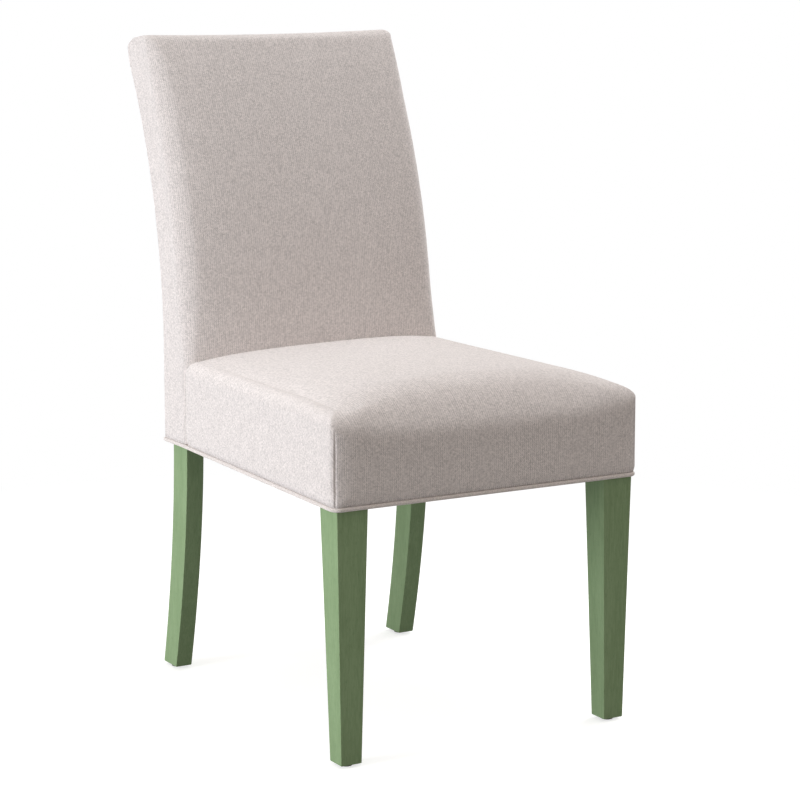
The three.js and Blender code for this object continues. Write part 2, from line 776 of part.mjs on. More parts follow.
// Seat upholstery: foam, a thin wadding over it, and the fabric.
function addSeatUpholstery() {
  place("seat_foam", geometryOf(seatForm(padding, foamBottom, postFront - fit)), "foam");
  const waddingRear = seatRear - creaseRoll - fit;
  const below = coverBottom - overrun;
  const waddingOuter = seatForm(softInset, coverBottom, waddingRear);
  const waddingInner = seatForm(softInset + seatWadding, below, waddingRear + overrun);
  place("seat_wadding", geometryOf(waddingOuter.subtract(waddingInner)), "wadding");
  const fabricInner = seatForm(cover, below, seatRear + overrun);
  const fabric = seatForm(0, coverBottom, seatRear).subtract(fabricInner);
  place("seat_cover", geometryOf(fabric), "linen");
}

// Straps across the posts, with burlap over them.
function addBackWebbing() {
  const low = lowerRailAngles[1];
  const step = (crestAngles[0] - low) / backStraps;
  const halfStrap = (webWidth * half) / strapRadius;
  const reach = postOuter - webInset;
  for (let i = 0; i < backStraps; i += 1) {
    const angle = low + (i + half) * step;
    const radius = strapRadius + webThickness;
    const shape = arcLayer(strapRadius, radius, angle - halfStrap, angle + halfStrap);
    place(`back_web_${i + 1}`, backSheet(shape, reach, 1), "webbing");
  }
  const edge = webInset / burlapRadius;
  const shape = arcLayer(burlapRadius, burlapRadius + deckThickness, edge, topAngle - edge);
  place("back_burlap", backSheet(shape, reach, bendSteps), "burlap");
}

// Back upholstery: foam in front and over the top, pads at the sides, card and wadding behind,
// a cover round the front, sides and top, and a separate panel behind.
function addBackUpholstery() {
  const inside = backForm(softInset, coverBottom);
  const seatBlock = seatForm(-fit, coverBottom - overrun, seatRear + fit);
  const above = overallHeight + overrun;
  const top = topAngle + fit / backBend;
  const frontRegion = new THREE.Shape();
  frontRegion.moveTo(bendCentre.x - foamRadius, bendStart);
  frontRegion.absarc(bendCentre.x, bendStart, foamRadius, Math.PI, Math.PI - top, true);
  const behind = onBend(backBend - overrun, top);
  frontRegion.lineTo(behind.x, behind.y);
  frontRegion.lineTo(behind.x, above);
  frontRegion.lineTo(seatRear - backThickness, above);
  frontRegion.lineTo(seatRear - backThickness, bendStart);
  const wide = backRearHalf + overrun;
  const foamRegion = solidOf(acrossChair(frontRegion, -wide, wide));
  const foam = inside.intersect(foamRegion).subtract(seatBlock);
  place("back_foam", geometryOf(foam), "foam");

  const sideLayer = bentLayer(linerRadius, foamRadius - fit, coverBottom, topAngle);
  const core = narrowingBlock(postOuter + fit, -overrun, bendCentre.x, 0, above);
  const pad = inside.intersect(solidOf(acrossChair(sideLayer, 0, wide))).subtract(core);
  placePair("back_side_pad", geometryOf(pad), "foam");

  const card = bentLayer(linerRadius, linerRadius + linerThickness, railBottom, topAngle);
  place("outside_back_card", backSheet(card, postOuter, bendSteps), "card");
  const behindLayer = bentLayer(backBend - overrun, linerRadius - fit, coverBottom, topAngle);
  const rearWadding = inside.intersect(solidOf(acrossChair(behindLayer, -wide, wide)));
  place("outside_back_wadding", geometryOf(rearWadding), "wadding");

  const shell = backForm(0, coverBottom).subtract(backForm(cover, coverBottom - overrun));
  const panelRegion = (gap) => {
    const panelTop = topRollStart - backTopDrop - gap;
    const levels = [coverBottom - overrun];
    for (let i = 0; i <= bendSteps; i += 1) {
      levels.push(THREE.MathUtils.lerp(bendStart, panelTop, i / bendSteps));
    }
    const rings = levels.map((z) => {
      const x = backRearHalf - backRearRadius - gap - narrowingAt(z);
      const near = depthAt(backBend, z) - backThickness * half;
      const far = bendCentre.x;
      return [[-x, near, z], [x, near, z], [x, far, z], [-x, far, z]];
    });
    return skin(rings);
  };
  place("outside_back_panel", geometryOf(shell.intersect(panelRegion(fit))), "linen");
  const wrap = shell.subtract(panelRegion(0)).subtract(seatBlock);
  place("back_cover", geometryOf(wrap), "linen");
}

// A path through given points, which are its only stations.
class StationPath extends THREE.Curve {
  constructor(points) {
    super();
    this.points = points;
  }

  getPoint(t, target = new THREE.Vector3()) {
    const place = Math.min(Math.max(t, 0), 1) * (this.points.length - 1);
    const index = Math.min(Math.floor(place), this.points.length - 2);
    return target.lerpVectors(this.points[index], this.points[index + 1], place - index);
  }

  getUtoTmapping(u) {
    return u;
  }
}

// The welt: one covered cord round the whole lower edge, butted at the middle of the rear.
function addWelt() {
  const inset = weltRadius - weltProud;
  const frontRadius = seatCornerRadius - inset;
  const rearRadius = backRearRadius - inset;
  const front = seatFront + inset;
  const rear = backRear - inset;
  const right = [];
  for (let i = 0; i <= cornerSteps; i += 1) {
    const turn = (i / cornerSteps) * quarterTurn;
    const y = front + frontRadius * (1 - Math.cos(turn));
    right.push([seatHalfAt(y) - inset - frontRadius * (1 - Math.sin(turn)), y]);
  }
  right.push([seatRearHalf - inset, seatRear]);
  for (let i = 0; i <= cornerSteps; i += 1) {
    const turn = (i / cornerSteps) * quarterTurn;
    const x = backRearHalf - inset - rearRadius * (1 - Math.cos(turn));
    right.push([x, rear - rearRadius * (1 - Math.sin(turn))]);
  }
  right.push([weltButt * half, rear]);
  const left = right.map(([x, y]) => [-x, y]).reverse();
  const level = weltBottom + weltRadius;
  const points = [...left, ...right].map(([x, y]) => new THREE.Vector3(x, y, level));
  const section = new THREE.Shape();
  section.absarc(0, 0, weltRadius, 0, Math.PI + Math.PI, false);
  const geometry = new THREE.ExtrudeGeometry(section, {
    steps: points.length - 1,
    extrudePath: new StationPath(points),
    curveSegments: cordSides * half,
  });
  place("welt", geometry, "linen");
}

// Black dust cloth under the rails, cut out round the legs.
function addDustCover() {
  const inset = weltRadius + weltRadius - weltProud + fit;
  const halfAt = (y) => seatHalfAt(y) - inset;
  const cut = fit + fit;
  const legBack = legTop + cut;
  const postStart = postFront - cut;
  const postEnd = postFront + postLegDepth + cut;
  const rearHalf = backRearHalf - inset;
  const rear = backRear - inset;
  const right = [
    [legInner - cut, seatFront + inset],
    [legInner - cut, legBack],
    [halfAt(legBack), legBack],
    [halfAt(postStart), postStart],
    [postInner - cut, postStart],
    [postInner - cut, postEnd],
    [rearHalf, postEnd],
    [rearHalf, rear - backRearRadius + inset],
    [rearHalf - backRearRadius + inset, rear],
  ];
  const left = right.map(([x, y]) => [-x, y]).reverse();
  const plan = polygon([...right, ...left]);
  const top = railBottom - fit;
  place("dust_cover", upward(plan, top - dustThickness, top), "cambric");
}

// The wooden frame, its corner blocks and its screws.
function addFrame() {
  placePair("front_leg", geometryOf(frontLeg()), "stainedWood");
  placePair("back_post", geometryOf(backPost()), "stainedWood");
  const { front_rail_screw: frontSpot, back_rail_screw: backSpot } = screwSpots;
  const frontRail = crossRail(legInner - fit, 0, tenonNear, [frontSpot]);
  const backRail = crossRail(postInner - fit, postRear - railThickness, backTenonFront, [backSpot]);
  place("front_rail", geometryOf(frontRail), "rawWood");
  place("back_rail", geometryOf(backRail), "rawWood");
  placePair("side_rail", geometryOf(sideRail()), "rawWood");
  place("lower_back_rail", geometryOf(bentRail(lowerRailAngles)), "rawWood");
  place("crest_rail", geometryOf(bentRail(crestAngles)), "rawWood");

  const frontInner = railThickness + fit;
  const legBack = legTop + fit;
  const frontPlan = [
    [legInner - fit, frontInner],
    [legInner - fit, legBack],
    [sideRailInner(legBack) - fit, legBack],
    [sideRailInner(legTop + blockRun) - fit, legTop + blockRun],
    [legInner - blockReach, frontInner],
  ];
  const frontSpots = [screwSpots.front_rail_screw, screwSpots.front_side_screw];
  placePair("front_corner_block", geometryOf(cornerBlock(frontPlan, frontSpots)), "rawWood");
  const backInner = postRear - railThickness - fit;
  const postFace = postFront - fit;
  const rearPlan = [
    [postInner - fit, backInner],
    [postInner - fit, postFace],
    [sideRailInner(postFace) - fit, postFace],
    [sideRailInner(postFront - blockRun) - fit, postFront - blockRun],
    [postInner - blockReach, backInner],
  ];
  const rearSpots = [screwSpots.back_rail_screw, screwSpots.rear_side_screw];
  placePair("rear_corner_block", geometryOf(cornerBlock(rearPlan, rearSpots)), "rawWood");
  for (const [name, spot] of Object.entries(screwSpots)) {
    placePair(name, aim(screw(), spot), "steel");
  }
}

// Nail-on glides under the four feet.
function addGlides() {
  for (const [end, { x, y }] of Object.entries(footCentres)) {
    const geometry = glide();
    geometry.translate(x, y, 0);
    placePair(`${end}_glide`, geometry, "nylon");
  }
}

addFrame();
addGlides();
addSeatWebbing();
addDeck();
addSeatUpholstery();
addBackWebbing();
addBackUpholstery();
addWelt();
addDustCover();

// The origin is the middle of the footprint, on the floor.
const footprint = new THREE.Box3().setFromObject(assembly);
assembly.position.y = -(footprint.min.y + footprint.max.y) * half;

export default chair;
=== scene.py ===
import math

import bmesh
import bpy
import numpy as np
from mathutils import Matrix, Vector


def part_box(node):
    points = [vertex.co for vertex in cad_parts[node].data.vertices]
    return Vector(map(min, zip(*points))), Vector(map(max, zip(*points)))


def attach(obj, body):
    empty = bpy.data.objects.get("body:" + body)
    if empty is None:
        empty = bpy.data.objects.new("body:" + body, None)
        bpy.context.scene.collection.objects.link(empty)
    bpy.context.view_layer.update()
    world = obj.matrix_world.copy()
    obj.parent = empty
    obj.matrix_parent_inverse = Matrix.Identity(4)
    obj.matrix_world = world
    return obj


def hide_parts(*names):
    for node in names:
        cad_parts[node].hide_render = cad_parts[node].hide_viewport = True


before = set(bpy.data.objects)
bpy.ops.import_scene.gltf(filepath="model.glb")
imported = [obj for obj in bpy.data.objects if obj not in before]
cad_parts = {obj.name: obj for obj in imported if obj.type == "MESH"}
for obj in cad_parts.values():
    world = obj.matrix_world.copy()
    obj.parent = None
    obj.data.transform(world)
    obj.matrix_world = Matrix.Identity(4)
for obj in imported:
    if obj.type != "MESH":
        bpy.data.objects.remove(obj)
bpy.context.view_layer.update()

# Camera
# It stands in front of the chair's left side, a little above the top of the back,
# and looks slightly down with a long lens.
camera_data = bpy.data.cameras.new("camera")
camera_data.sensor_width = 36.0
camera_data.lens = 117.245
camera_data.clip_end = 40.0
camera = bpy.data.objects.new("camera", camera_data)
camera.location = (-1.87483, -3.31964, 1.10577)
camera.rotation_euler = (math.radians(90 - 9.98), 0.0, math.radians(-30.31))
bpy.context.scene.collection.objects.link(camera)
bpy.context.scene.camera = camera

# Front legs
# Two square legs of beech, tapered below the seat on all four sides and stained sage green
# after sanding. The block above the taper stands behind the fabric and takes the rails' tenons.
eased_edge = 0.0008
corner_turns = 4
leg_top_side = 0.0476
leg_foot_side = 0.032
foot_inset_x = 0.007
foot_inset_y = 0.0035
foot_level = 0.004
leg_shoulder = 0.358
wood_frame_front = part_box("front_leg_left")[0].y


def mesh_piece(name, points, *face_groups):
    """A smooth mesh object from an array of points, and arrays of faces that name them by number."""
    mesh = bpy.data.meshes.new(name)
    faces = [face for group in face_groups for face in group.tolist()]
    mesh.from_pydata(points.tolist(), [], faces)
    mesh.shade_smooth()
    piece = bpy.data.objects.new(name, mesh)
    bpy.context.scene.collection.objects.link(piece)
    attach(piece, "root")
    return piece


def grid_faces(rows, columns, wrapped=False):
    """Four-sided faces between neighbours of a grid whose points are numbered row by row."""
    numbers = np.arange(rows * columns).reshape(rows, columns)
    if wrapped:
        numbers = np.concatenate([numbers, numbers[:, :1]], axis=1)
    low, high = numbers[:-1], numbers[1:]
    return np.stack([low[:, :-1], low[:, 1:], high[:, 1:], high[:, :-1]], axis=-1).reshape(-1, 4)


def fan_faces(ring, middle, upward):
    """Three-sided faces from a ring of point numbers to one point in its middle."""
    following = np.roll(ring, -1)
    sides = (ring, following) if upward else (following, ring)
    return np.stack([*sides, np.full(len(ring), middle)], axis=-1)


def eased_bar(name, fronts, rears, lows, highs):
    """A bar with rounded edges, carried along rows of sections.
    A section's corners are a front and a rear point (y, z), and a low and a high x. Each corner
    is a quarter circle of the eased edge, and the last row at each end is drawn in by the same."""
    fronts, rears = np.asarray(fronts, float), np.asarray(rears, float)
    lows, highs = np.asarray(lows, float), np.asarray(highs, float)
    run = np.linalg.norm(rears - fronts, axis=1)
    step = (rears - fronts) / run[:, None]
    turn = np.linspace(0, np.pi / 2, corner_turns + 1)
    angle = (turn + np.array([[0], [1], [2], [3]]) * np.pi / 2).ravel()
    corner_x = np.repeat([1.0, 0.0, 0.0, 1.0], corner_turns + 1)
    corner_s = np.repeat([1.0, 1.0, 0.0, 0.0], corner_turns + 1)
    ends = np.concatenate([[0], np.arange(len(fronts)), [len(fronts) - 1]])
    inset = np.zeros(len(ends))
    inset[[0, -1]] = eased_edge
    reach = eased_edge
    wide = (highs - lows)[ends, None]
    x = lows[ends, None] + corner_x * wide + (np.cos(angle) - np.where(corner_x > 0, 1, -1)) * reach
    x = x - np.where(corner_x > 0, 1, -1) * inset[:, None]
    s = corner_s * run[ends, None] + (np.sin(angle) - np.where(corner_s > 0, 1, -1)) * reach
    s = s - np.where(corner_s > 0, 1, -1) * inset[:, None]
    yz = fronts[ends, None, :] + step[ends, None, :] * s[:, :, None]
    points = np.concatenate([x[:, :, None], yz], axis=-1)
    along = np.gradient(np.stack([fronts, rears]).mean(0), axis=0)
    along = along / np.linalg.norm(along, axis=1)[:, None]
    points[1, :, 1:] += along[0] * eased_edge
    points[-2, :, 1:] -= along[-1] * eased_edge
    rows, columns = x.shape
    middles = points[[0, -1]].mean(axis=1)
    points = np.concatenate([points.reshape(-1, 3), middles])
    walls = grid_faces(rows, columns, wrapped=True)
    first = np.arange(columns)
    bottom = fan_faces(first, rows * columns, upward=False)
    top = fan_faces(first + (rows - 1) * columns, rows * columns + 1, upward=True)
    bar = mesh_piece(name, points, walls, bottom, top)
    bar.modifiers.new("even_normals", "WEIGHTED_NORMAL")
    return bar


class Quantity:
    """A value that changes over a surface. Sums and products of it add their own nodes."""

    def __init__(self, finish, socket):
        self.finish = finish
        self.socket = socket

    def joined(self, operation, first, second=0.0):
        return self.finish.node("ShaderNodeMath", {"operation": operation}, {0: first, 1: second})

    def __add__(self, other):
        return self.joined("ADD", self, other)

    def __radd__(self, other):
        return self.joined("ADD", other, self)

    def __sub__(self, other):
        return self.joined("SUBTRACT", self, other)

    def __rsub__(self, other):
        return self.joined("SUBTRACT", other, self)

    def __mul__(self, other):
        return self.joined("MULTIPLY", self, other)

    def __rmul__(self, other):
        return self.joined("MULTIPLY", other, self)

    def __truediv__(self, other):
        return self.joined("DIVIDE", self, other)

    def __pow__(self, other):
        return self.joined("POWER", self, other)

    def sine(self):
        return self.joined("SINE", self)

    def size(self):
        return self.joined("ABSOLUTE", self)

    def whole(self):
        return self.joined("FLOOR", self)

    def left_over(self, step):
        return self.joined("FLOORED_MODULO", self, step)

    def above(self, level):
        return self.joined("GREATER_THAN", self, level)


class Finish:
    """One finish of the chair: a material with one shader, and calls that add nodes to it."""

    def __init__(self, name, **constants):
        self.material = bpy.data.materials.new(name)
        self.material.use_nodes = True
        self.tree = self.material.node_tree
        self.shader = self.tree.nodes["Principled BSDF"]
        for socket, value in constants.items():
            self.shader.inputs[socket.replace("_", " ")].default_value = value

    def node(self, kind, settings, inputs, output=0):
        made = self.tree.nodes.new(kind)
        for name, value in settings.items():
            if name == "stops":
                made.color_ramp.elements[0].position = value[0]
                made.color_ramp.elements[1].position = value[1]
            else:
                setattr(made, name, value)
        for name, value in inputs.items():
            if isinstance(value, Quantity):
                self.tree.links.new(value.socket, made.inputs[name])
            else:
                made.inputs[name].default_value = value
        return Quantity(self, made.outputs[output])

    def place(self, stretch=(1, 1, 1), turn=(0, 0, 0)):
        spot = self.node("ShaderNodeTexCoord", {}, {}, "Object")
        return self.node("ShaderNodeMapping", {}, {"Vector": spot, "Rotation": turn, "Scale": stretch})

    def cloth_place(self, stretch=(1, 1, 1)):
        spot = self.node("ShaderNodeUVMap", {"uv_map": "cloth"}, {})
        return self.node("ShaderNodeMapping", {}, {"Vector": spot, "Scale": stretch})

    def noise(self, place, scale=1.0, detail=2.0, roughness=0.5):
        inputs = {"Vector": place, "Scale": scale, "Detail": detail, "Roughness": roughness}
        return self.node("ShaderNodeTexNoise", {}, inputs)

    def part(self, place, axis):
        return self.node("ShaderNodeSeparateXYZ", {}, {0: place}, axis)

    def between(self, quantity, low, high):
        inputs = {"Value": quantity, "From Min": low, "From Max": high}
        return self.node("ShaderNodeMapRange", {"interpolation_type": "SMOOTHSTEP"}, inputs)

    def mix(self, share, first, second):
        inputs = {0: share, 6: first, 7: second}
        return self.node("ShaderNodeMix", {"data_type": "RGBA"}, inputs, 2)

    def show(self, colour, roughness, height, depth):
        inputs = {"Height": height, "Distance": depth, "Strength": 1.0}
        bump = self.node("ShaderNodeBump", {}, inputs)
        for socket, value in (("Base Color", colour), ("Roughness", roughness), ("Normal", bump)):
            self.tree.links.new(value.socket, self.shader.inputs[socket])

    def put_on(self, *pieces):
        for piece in pieces:
            piece.data.materials.clear()
            piece.data.materials.append(self.material)


def wood_finish(name, light, dark, pore, grain_turn, roughness=0.5):
    """Straight-grained wood. Soft bands and fine fibres run along the length of the piece,
    short dark pores lie between them, and the fibres stand up slightly."""
    finish = Finish(name, Specular_IOR_Level=0.05)
    bands = finish.noise(finish.place((45, 45, 2.5), grain_turn), 1.0, 3.0, 0.55)
    fibres = finish.noise(finish.place((520, 520, 32), grain_turn), 1.0, 3.0, 0.65)
    flecks = finish.noise(finish.place((1500, 1500, 120), grain_turn), 1.0, 1.0, 0.5)
    patches = finish.noise(finish.place((14, 14, 8)), 1.0, 2.0, 0.5)
    pores = finish.between(flecks, 0.6, 0.72)
    share = finish.between(bands * 0.3 + fibres * 0.5 + patches * 0.2, 0.36, 0.64)
    colour = finish.mix(share, dark, light)
    colour = finish.mix(pores * 0.45, colour, pore)
    rough = roughness + fibres * 0.12 + pores * 0.15
    finish.show(colour, rough, fibres - pores * 0.8, 0.00012)
    return finish


stain_light = (0.262, 0.357, 0.198, 1)
stain_dark = (0.21, 0.295, 0.155, 1)
stain_pore = (0.14, 0.21, 0.105, 1)
stained_wood = wood_finish("stained_wood", stain_light, stain_dark, stain_pore, (0, 0, 0))


def tapered_leg(side):
    """A leg between its foot and the rails. side is -1 at the left and 1 at the right."""
    low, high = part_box("front_leg_left" if side < 0 else "front_leg_right")
    outer = low.x if side < 0 else high.x
    levels = np.array([foot_level, leg_shoulder, high.z])
    squares = np.array([leg_foot_side, leg_top_side, leg_top_side])
    insets_x = np.array([foot_inset_x, 0, 0])
    insets_y = np.array([foot_inset_y, 0, 0])
    outers = outer - side * insets_x
    inners = outers - side * squares
    fronts = wood_frame_front + insets_y
    rows = np.stack([fronts, levels], axis=-1)
    backs = np.stack([fronts + squares, levels], axis=-1)
    return rows, backs, np.minimum(outers, inners), np.maximum(outers, inners)


for side, stem in ((-1, "left"), (1, "right")):
    leg = eased_bar(f"tapered_front_leg_{stem}", *tapered_leg(side))
    stained_wood.put_on(leg)
    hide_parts(f"front_leg_{stem}")

# Back posts
# Each rear leg and its upright are sawn as one sabre-shaped board, bent above the seat,
# and only the leg below the seat is stained.
post_front = wood_frame_front + 0.5144
post_thickness = 0.0255
leg_widening = 0.0026
foot_widening = 0.0008
post_leg_depth = 0.0463
post_foot_depth = 0.043
post_sweep = 0.0461
sweep_power = 1.8
rail_bottom = 0.3613
bend_level = 0.472
bend_middle = wood_frame_front + 1.4824
post_rear_radius = 0.91
post_front_radius = 0.954
post_top_angle = math.asin((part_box("back_post_left")[1].z - bend_level) / post_front_radius)
back_narrowing = 0.0065
back_top = 0.967


def narrowing_at(level):
    """How far one side of the back is drawn in at a level. It grows evenly above the bend."""
    return back_narrowing * np.maximum(level - bend_level, 0) / (back_top - bend_level)


def post_rows():
    """Front and rear points (y, z) of the post. The leg's faces sweep back towards the foot by a
    power of the height, and the upright's faces are arcs about one middle behind the chair."""
    share = np.linspace(0, 1, 15)
    level = foot_level + share * (rail_bottom - foot_level)
    share, level = np.append(share, 1), np.append(level, rail_bottom + 0.0004)
    swept = (1 - share) ** sweep_power
    front_y = post_front + (post_sweep + post_leg_depth - post_foot_depth) * swept
    rear_y = post_front + post_leg_depth + post_sweep * swept
    angle = np.linspace(0, post_top_angle, 13)
    up_front = np.stack([bend_middle - post_front_radius * np.cos(angle),
                         bend_level + post_front_radius * np.sin(angle)], axis=-1)
    up_rear = np.stack([bend_middle - post_rear_radius * np.cos(angle),
                        bend_level + post_rear_radius * np.sin(angle)], axis=-1)
    fronts = np.concatenate([np.stack([front_y, level], axis=-1), up_front])
    rears = np.concatenate([np.stack([rear_y, level], axis=-1), up_rear])
    return fronts, rears


for side, stem in ((-1, "left"), (1, "right")):
    fronts, rears = post_rows()
    low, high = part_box(f"back_post_{stem}")
    outer = low.x if side < 0 else high.x
    outers = outer - side * narrowing_at((fronts[:, 1] + rears[:, 1]) / 2)
    share = fronts[:, 1] / rail_bottom
    wider = foot_widening + (leg_widening - foot_widening) * share
    inners = outers - side * (post_thickness + np.where(share < 1.0001, wider, 0))
    post = eased_bar(f"sabre_post_{stem}", fronts, rears,
                     np.minimum(outers, inners), np.maximum(outers, inners))
    stained_wood.put_on(post)
    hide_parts(f"back_post_{stem}")

# Rails and corner blocks
# Plain beech, unstained because the fabric hides it. The rails are tenoned into the legs and
# posts, and a glued and screwed block braces each corner.
beech_light = (0.6, 0.43, 0.27, 1)
beech_dark = (0.47, 0.31, 0.18, 1)
beech_pore = (0.3, 0.18, 0.1, 1)
quarter = math.pi / 2
beech_across = wood_finish("beech_across", beech_light, beech_dark, beech_pore, (0, quarter, 0), 0.62)
beech_back = wood_finish("beech_back", beech_light, beech_dark, beech_pore, (quarter, 0, 0), 0.62)
for name in ("front_rail", "back_rail", "lower_back_rail", "crest_rail"):
    beech_across.put_on(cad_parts[name])
for name in ("side_rail_left", "side_rail_right"):
    beech_back.put_on(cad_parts[name])
for name in ("front_corner_block", "rear_corner_block"):
    for stem in ("left", "right"):
        beech_across.put_on(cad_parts[f"{name}_{stem}"])

# Screws
# Zinc plated pan head screws that hold the corner blocks to the rails.
screw_steel = Finish("screw_steel", Metallic=1.0)
brushed = screw_steel.noise(screw_steel.place((700, 700, 700)), 1.0, 3.0, 0.6)
clouded = screw_steel.noise(screw_steel.place((160, 160, 160)), 1.0, 2.0, 0.5)
zinc = screw_steel.mix(clouded, (0.5, 0.52, 0.54, 1), (0.68, 0.68, 0.66, 1))
screw_steel.show(zinc, 0.22 + brushed * 0.25, brushed, 0.00003)
for name in ("front_rail_screw", "front_side_screw", "back_rail_screw", "rear_side_screw"):
    for stem in ("left", "right"):
        screw_steel.put_on(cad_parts[f"{name}_{stem}"])

# Glides
# A domed nylon button under each foot, nailed up into the end grain.
glide_radius = 0.009
glide_edge = 0.001
glide_top = 0.0037
nail_radius = 0.0012
nail_length = 0.014
glide_turns = 40
glide_nylon = Finish("glide_nylon")
scuffs = glide_nylon.noise(glide_nylon.place((500, 500, 500)), 1.0, 4.0, 0.6)
nylon = glide_nylon.mix(scuffs, (0.075, 0.07, 0.062, 1), (0.14, 0.132, 0.12, 1))
glide_nylon.show(nylon, 0.4 + scuffs * 0.25, scuffs, 0.00005)


def lathe(name, radii, heights, middle):
    """A closed turned form: radii and heights of its outline, from the bottom pole to the top one."""
    angle = np.arange(glide_turns) * 2 * np.pi / glide_turns
    radii, heights = np.asarray(radii[1:-1])[:, None], np.asarray(heights[1:-1])[:, None]
    x = middle.x + radii * np.cos(angle)
    y = middle.y + radii * np.sin(angle)
    z = heights + np.zeros_like(x)
    points = np.stack([x, y, z], axis=-1).reshape(-1, 3)
    return points, len(radii)


for place in ("front", "rear"):
    for stem in ("left", "right"):
        low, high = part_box(f"{place}_glide_{stem}")
        middle = (low + high) / 2
        turn = np.linspace(0, np.pi / 2, 5)
        lower_r = glide_radius - glide_edge + glide_edge * np.sin(turn)
        lower_z = glide_edge - glide_edge * np.cos(turn)
        upper_r = glide_radius - glide_edge + glide_edge * np.cos(turn)
        upper_z = glide_top - glide_edge + glide_edge * np.sin(turn)
        radii = np.concatenate([[0, 0.004], lower_r, upper_r, [0.004, nail_radius, nail_radius, 0]])
        nail_top = glide_top + nail_length
        levels = [glide_top, glide_top, nail_top - nail_radius, nail_top]
        heights = np.concatenate([[0, 0], lower_z, upper_z, levels])
        points, rows = lathe("glide", radii, heights, middle)
        poles = np.array([[middle.x, middle.y, 0], [middle.x, middle.y, nail_top]])
        ring = np.arange(glide_turns)
        walls = grid_faces(rows, glide_turns, wrapped=True)
        bottom = fan_faces(ring, rows * glide_turns, upward=False)
        top = fan_faces(ring + (rows - 1) * glide_turns, rows * glide_turns + 1, upward=True)
        points = np.concatenate([points, poles])
        glide = mesh_piece(f"domed_glide_{place}_{stem}", points, walls, bottom, top)
        glide.data.set_sharp_from_angle(angle=math.radians(50))
        glide_nylon.put_on(glide)
        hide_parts(f"{place}_glide_{stem}")

# Webbing
# Jute straps, woven over and under each other across the seat and tacked to the rails,
# and four more across the back.
webbing = Finish("webbing", Specular_IOR_Level=0.2)
strap_place = webbing.place()
ribs = (webbing.part(strap_place, 0) * 2400).sine() * (webbing.part(strap_place, 1) * 2400).sine()
strands = webbing.noise(webbing.place((300, 300, 300)), 1.0, 3.0, 0.6)
jute = webbing.mix(strands, (0.16, 0.135, 0.1, 1), (0.24, 0.205, 0.155, 1))
webbing.show(jute, 0.8 + strands * 0.15, ribs * 0.5 + strands, 0.0004)
for number in (1, 2, 3):
    webbing.put_on(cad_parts[f"seat_web_long_{number}"])
    webbing.put_on(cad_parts[f"seat_web_cross_{number}"])
for number in (1, 2, 3, 4):
    webbing.put_on(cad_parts[f"back_web_{number}"])

# Burlap
# A coarse jute cloth tacked over the straps of the seat and of the back, so that the foam can't
# press through between them. It dips a little between one strap and the next.
burlap_thickness = 0.001
burlap_dip = 0.0004
strap_spacing = 0.125
burlap = Finish("burlap", Specular_IOR_Level=0.15)
burlap_place = burlap.place((1900, 1900, 1900))
yarns = burlap.part(burlap_place, 0).sine() * (burlap.part(burlap_place, 1)
                                               + burlap.part(burlap_place, 2)).sine()
slubs = burlap.noise(burlap.place((500, 500, 500)), 1.0, 3.0, 0.6)
jute_brown = burlap.mix(slubs, (0.21, 0.14, 0.075, 1), (0.38, 0.28, 0.16, 1))
burlap.show(jute_brown, 0.85 + slubs * 0.1, yarns * 0.6 + slubs, 0.0005)


def cloth_grid(name, points, thickness):
    """One layer of cloth over a grid of points, which gets its thickness on the side away
    from where its faces look."""
    rows, columns = points.shape[:2]
    piece = mesh_piece(name, points.reshape(-1, 3), grid_faces(rows, columns))
    thick = piece.modifiers.new("thickness", "SOLIDIFY")
    thick.thickness = thickness
    thick.offset = -1.0
    return piece


def deck_points():
    """The seat's burlap lies flat between the rails. Its sides follow the taper of the frame,
    and it dips by the product of two cosines between the straps."""
    low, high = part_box("seat_deck_cloth")
    along = np.linspace(0, 1, 73)[:, None]
    across = np.linspace(-1, 1, 61)[None, :]
    rear_half = high.x - 0.0245
    half = high.x + (rear_half - high.x) * along
    x = half * across
    y = low.y + (high.y - low.y) * along + 0 * x
    turns = 2 * np.pi / strap_spacing
    dip = burlap_dip * (1 - np.cos(x * turns) * np.cos(y * turns)) / 2
    return np.stack([x, y, high.z - dip], axis=-1)


deck = cloth_grid("seat_burlap_deck", deck_points(), burlap_thickness)
burlap.put_on(deck)
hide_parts("seat_deck_cloth")


def on_bend(radius, angle):
    """y and z of points on an arc about the bend's middle, at angles up from its start."""
    return np.stack([bend_middle - radius * np.cos(angle), bend_level + radius * np.sin(angle)],
                    axis=-1)


def back_burlap_points():
    """The back's burlap follows the bend in front of the straps, and narrows with the back."""
    low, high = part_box("back_burlap")
    radius = bend_middle - low.y
    start = math.asin((low.z - bend_level) / radius)
    end = math.asin((high.z - bend_level) / radius)
    yz = on_bend(radius, np.linspace(start, end, 81))[::-1]
    across = np.linspace(-1, 1, 61)
    half = high.x - narrowing_at(yz[:, 1])
    x = half[:, None] * across
    dip = burlap_dip * (1 - np.cos(yz[:, 1:] * 2 * np.pi / strap_spacing)) / 2 + 0 * x
    return np.stack([x, yz[:, :1] + dip, yz[:, 1:] + 0 * x], axis=-1)


back_lining = cloth_grid("back_burlap_lining", back_burlap_points()[::-1], burlap_thickness)
burlap.put_on(back_lining)
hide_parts("back_burlap")

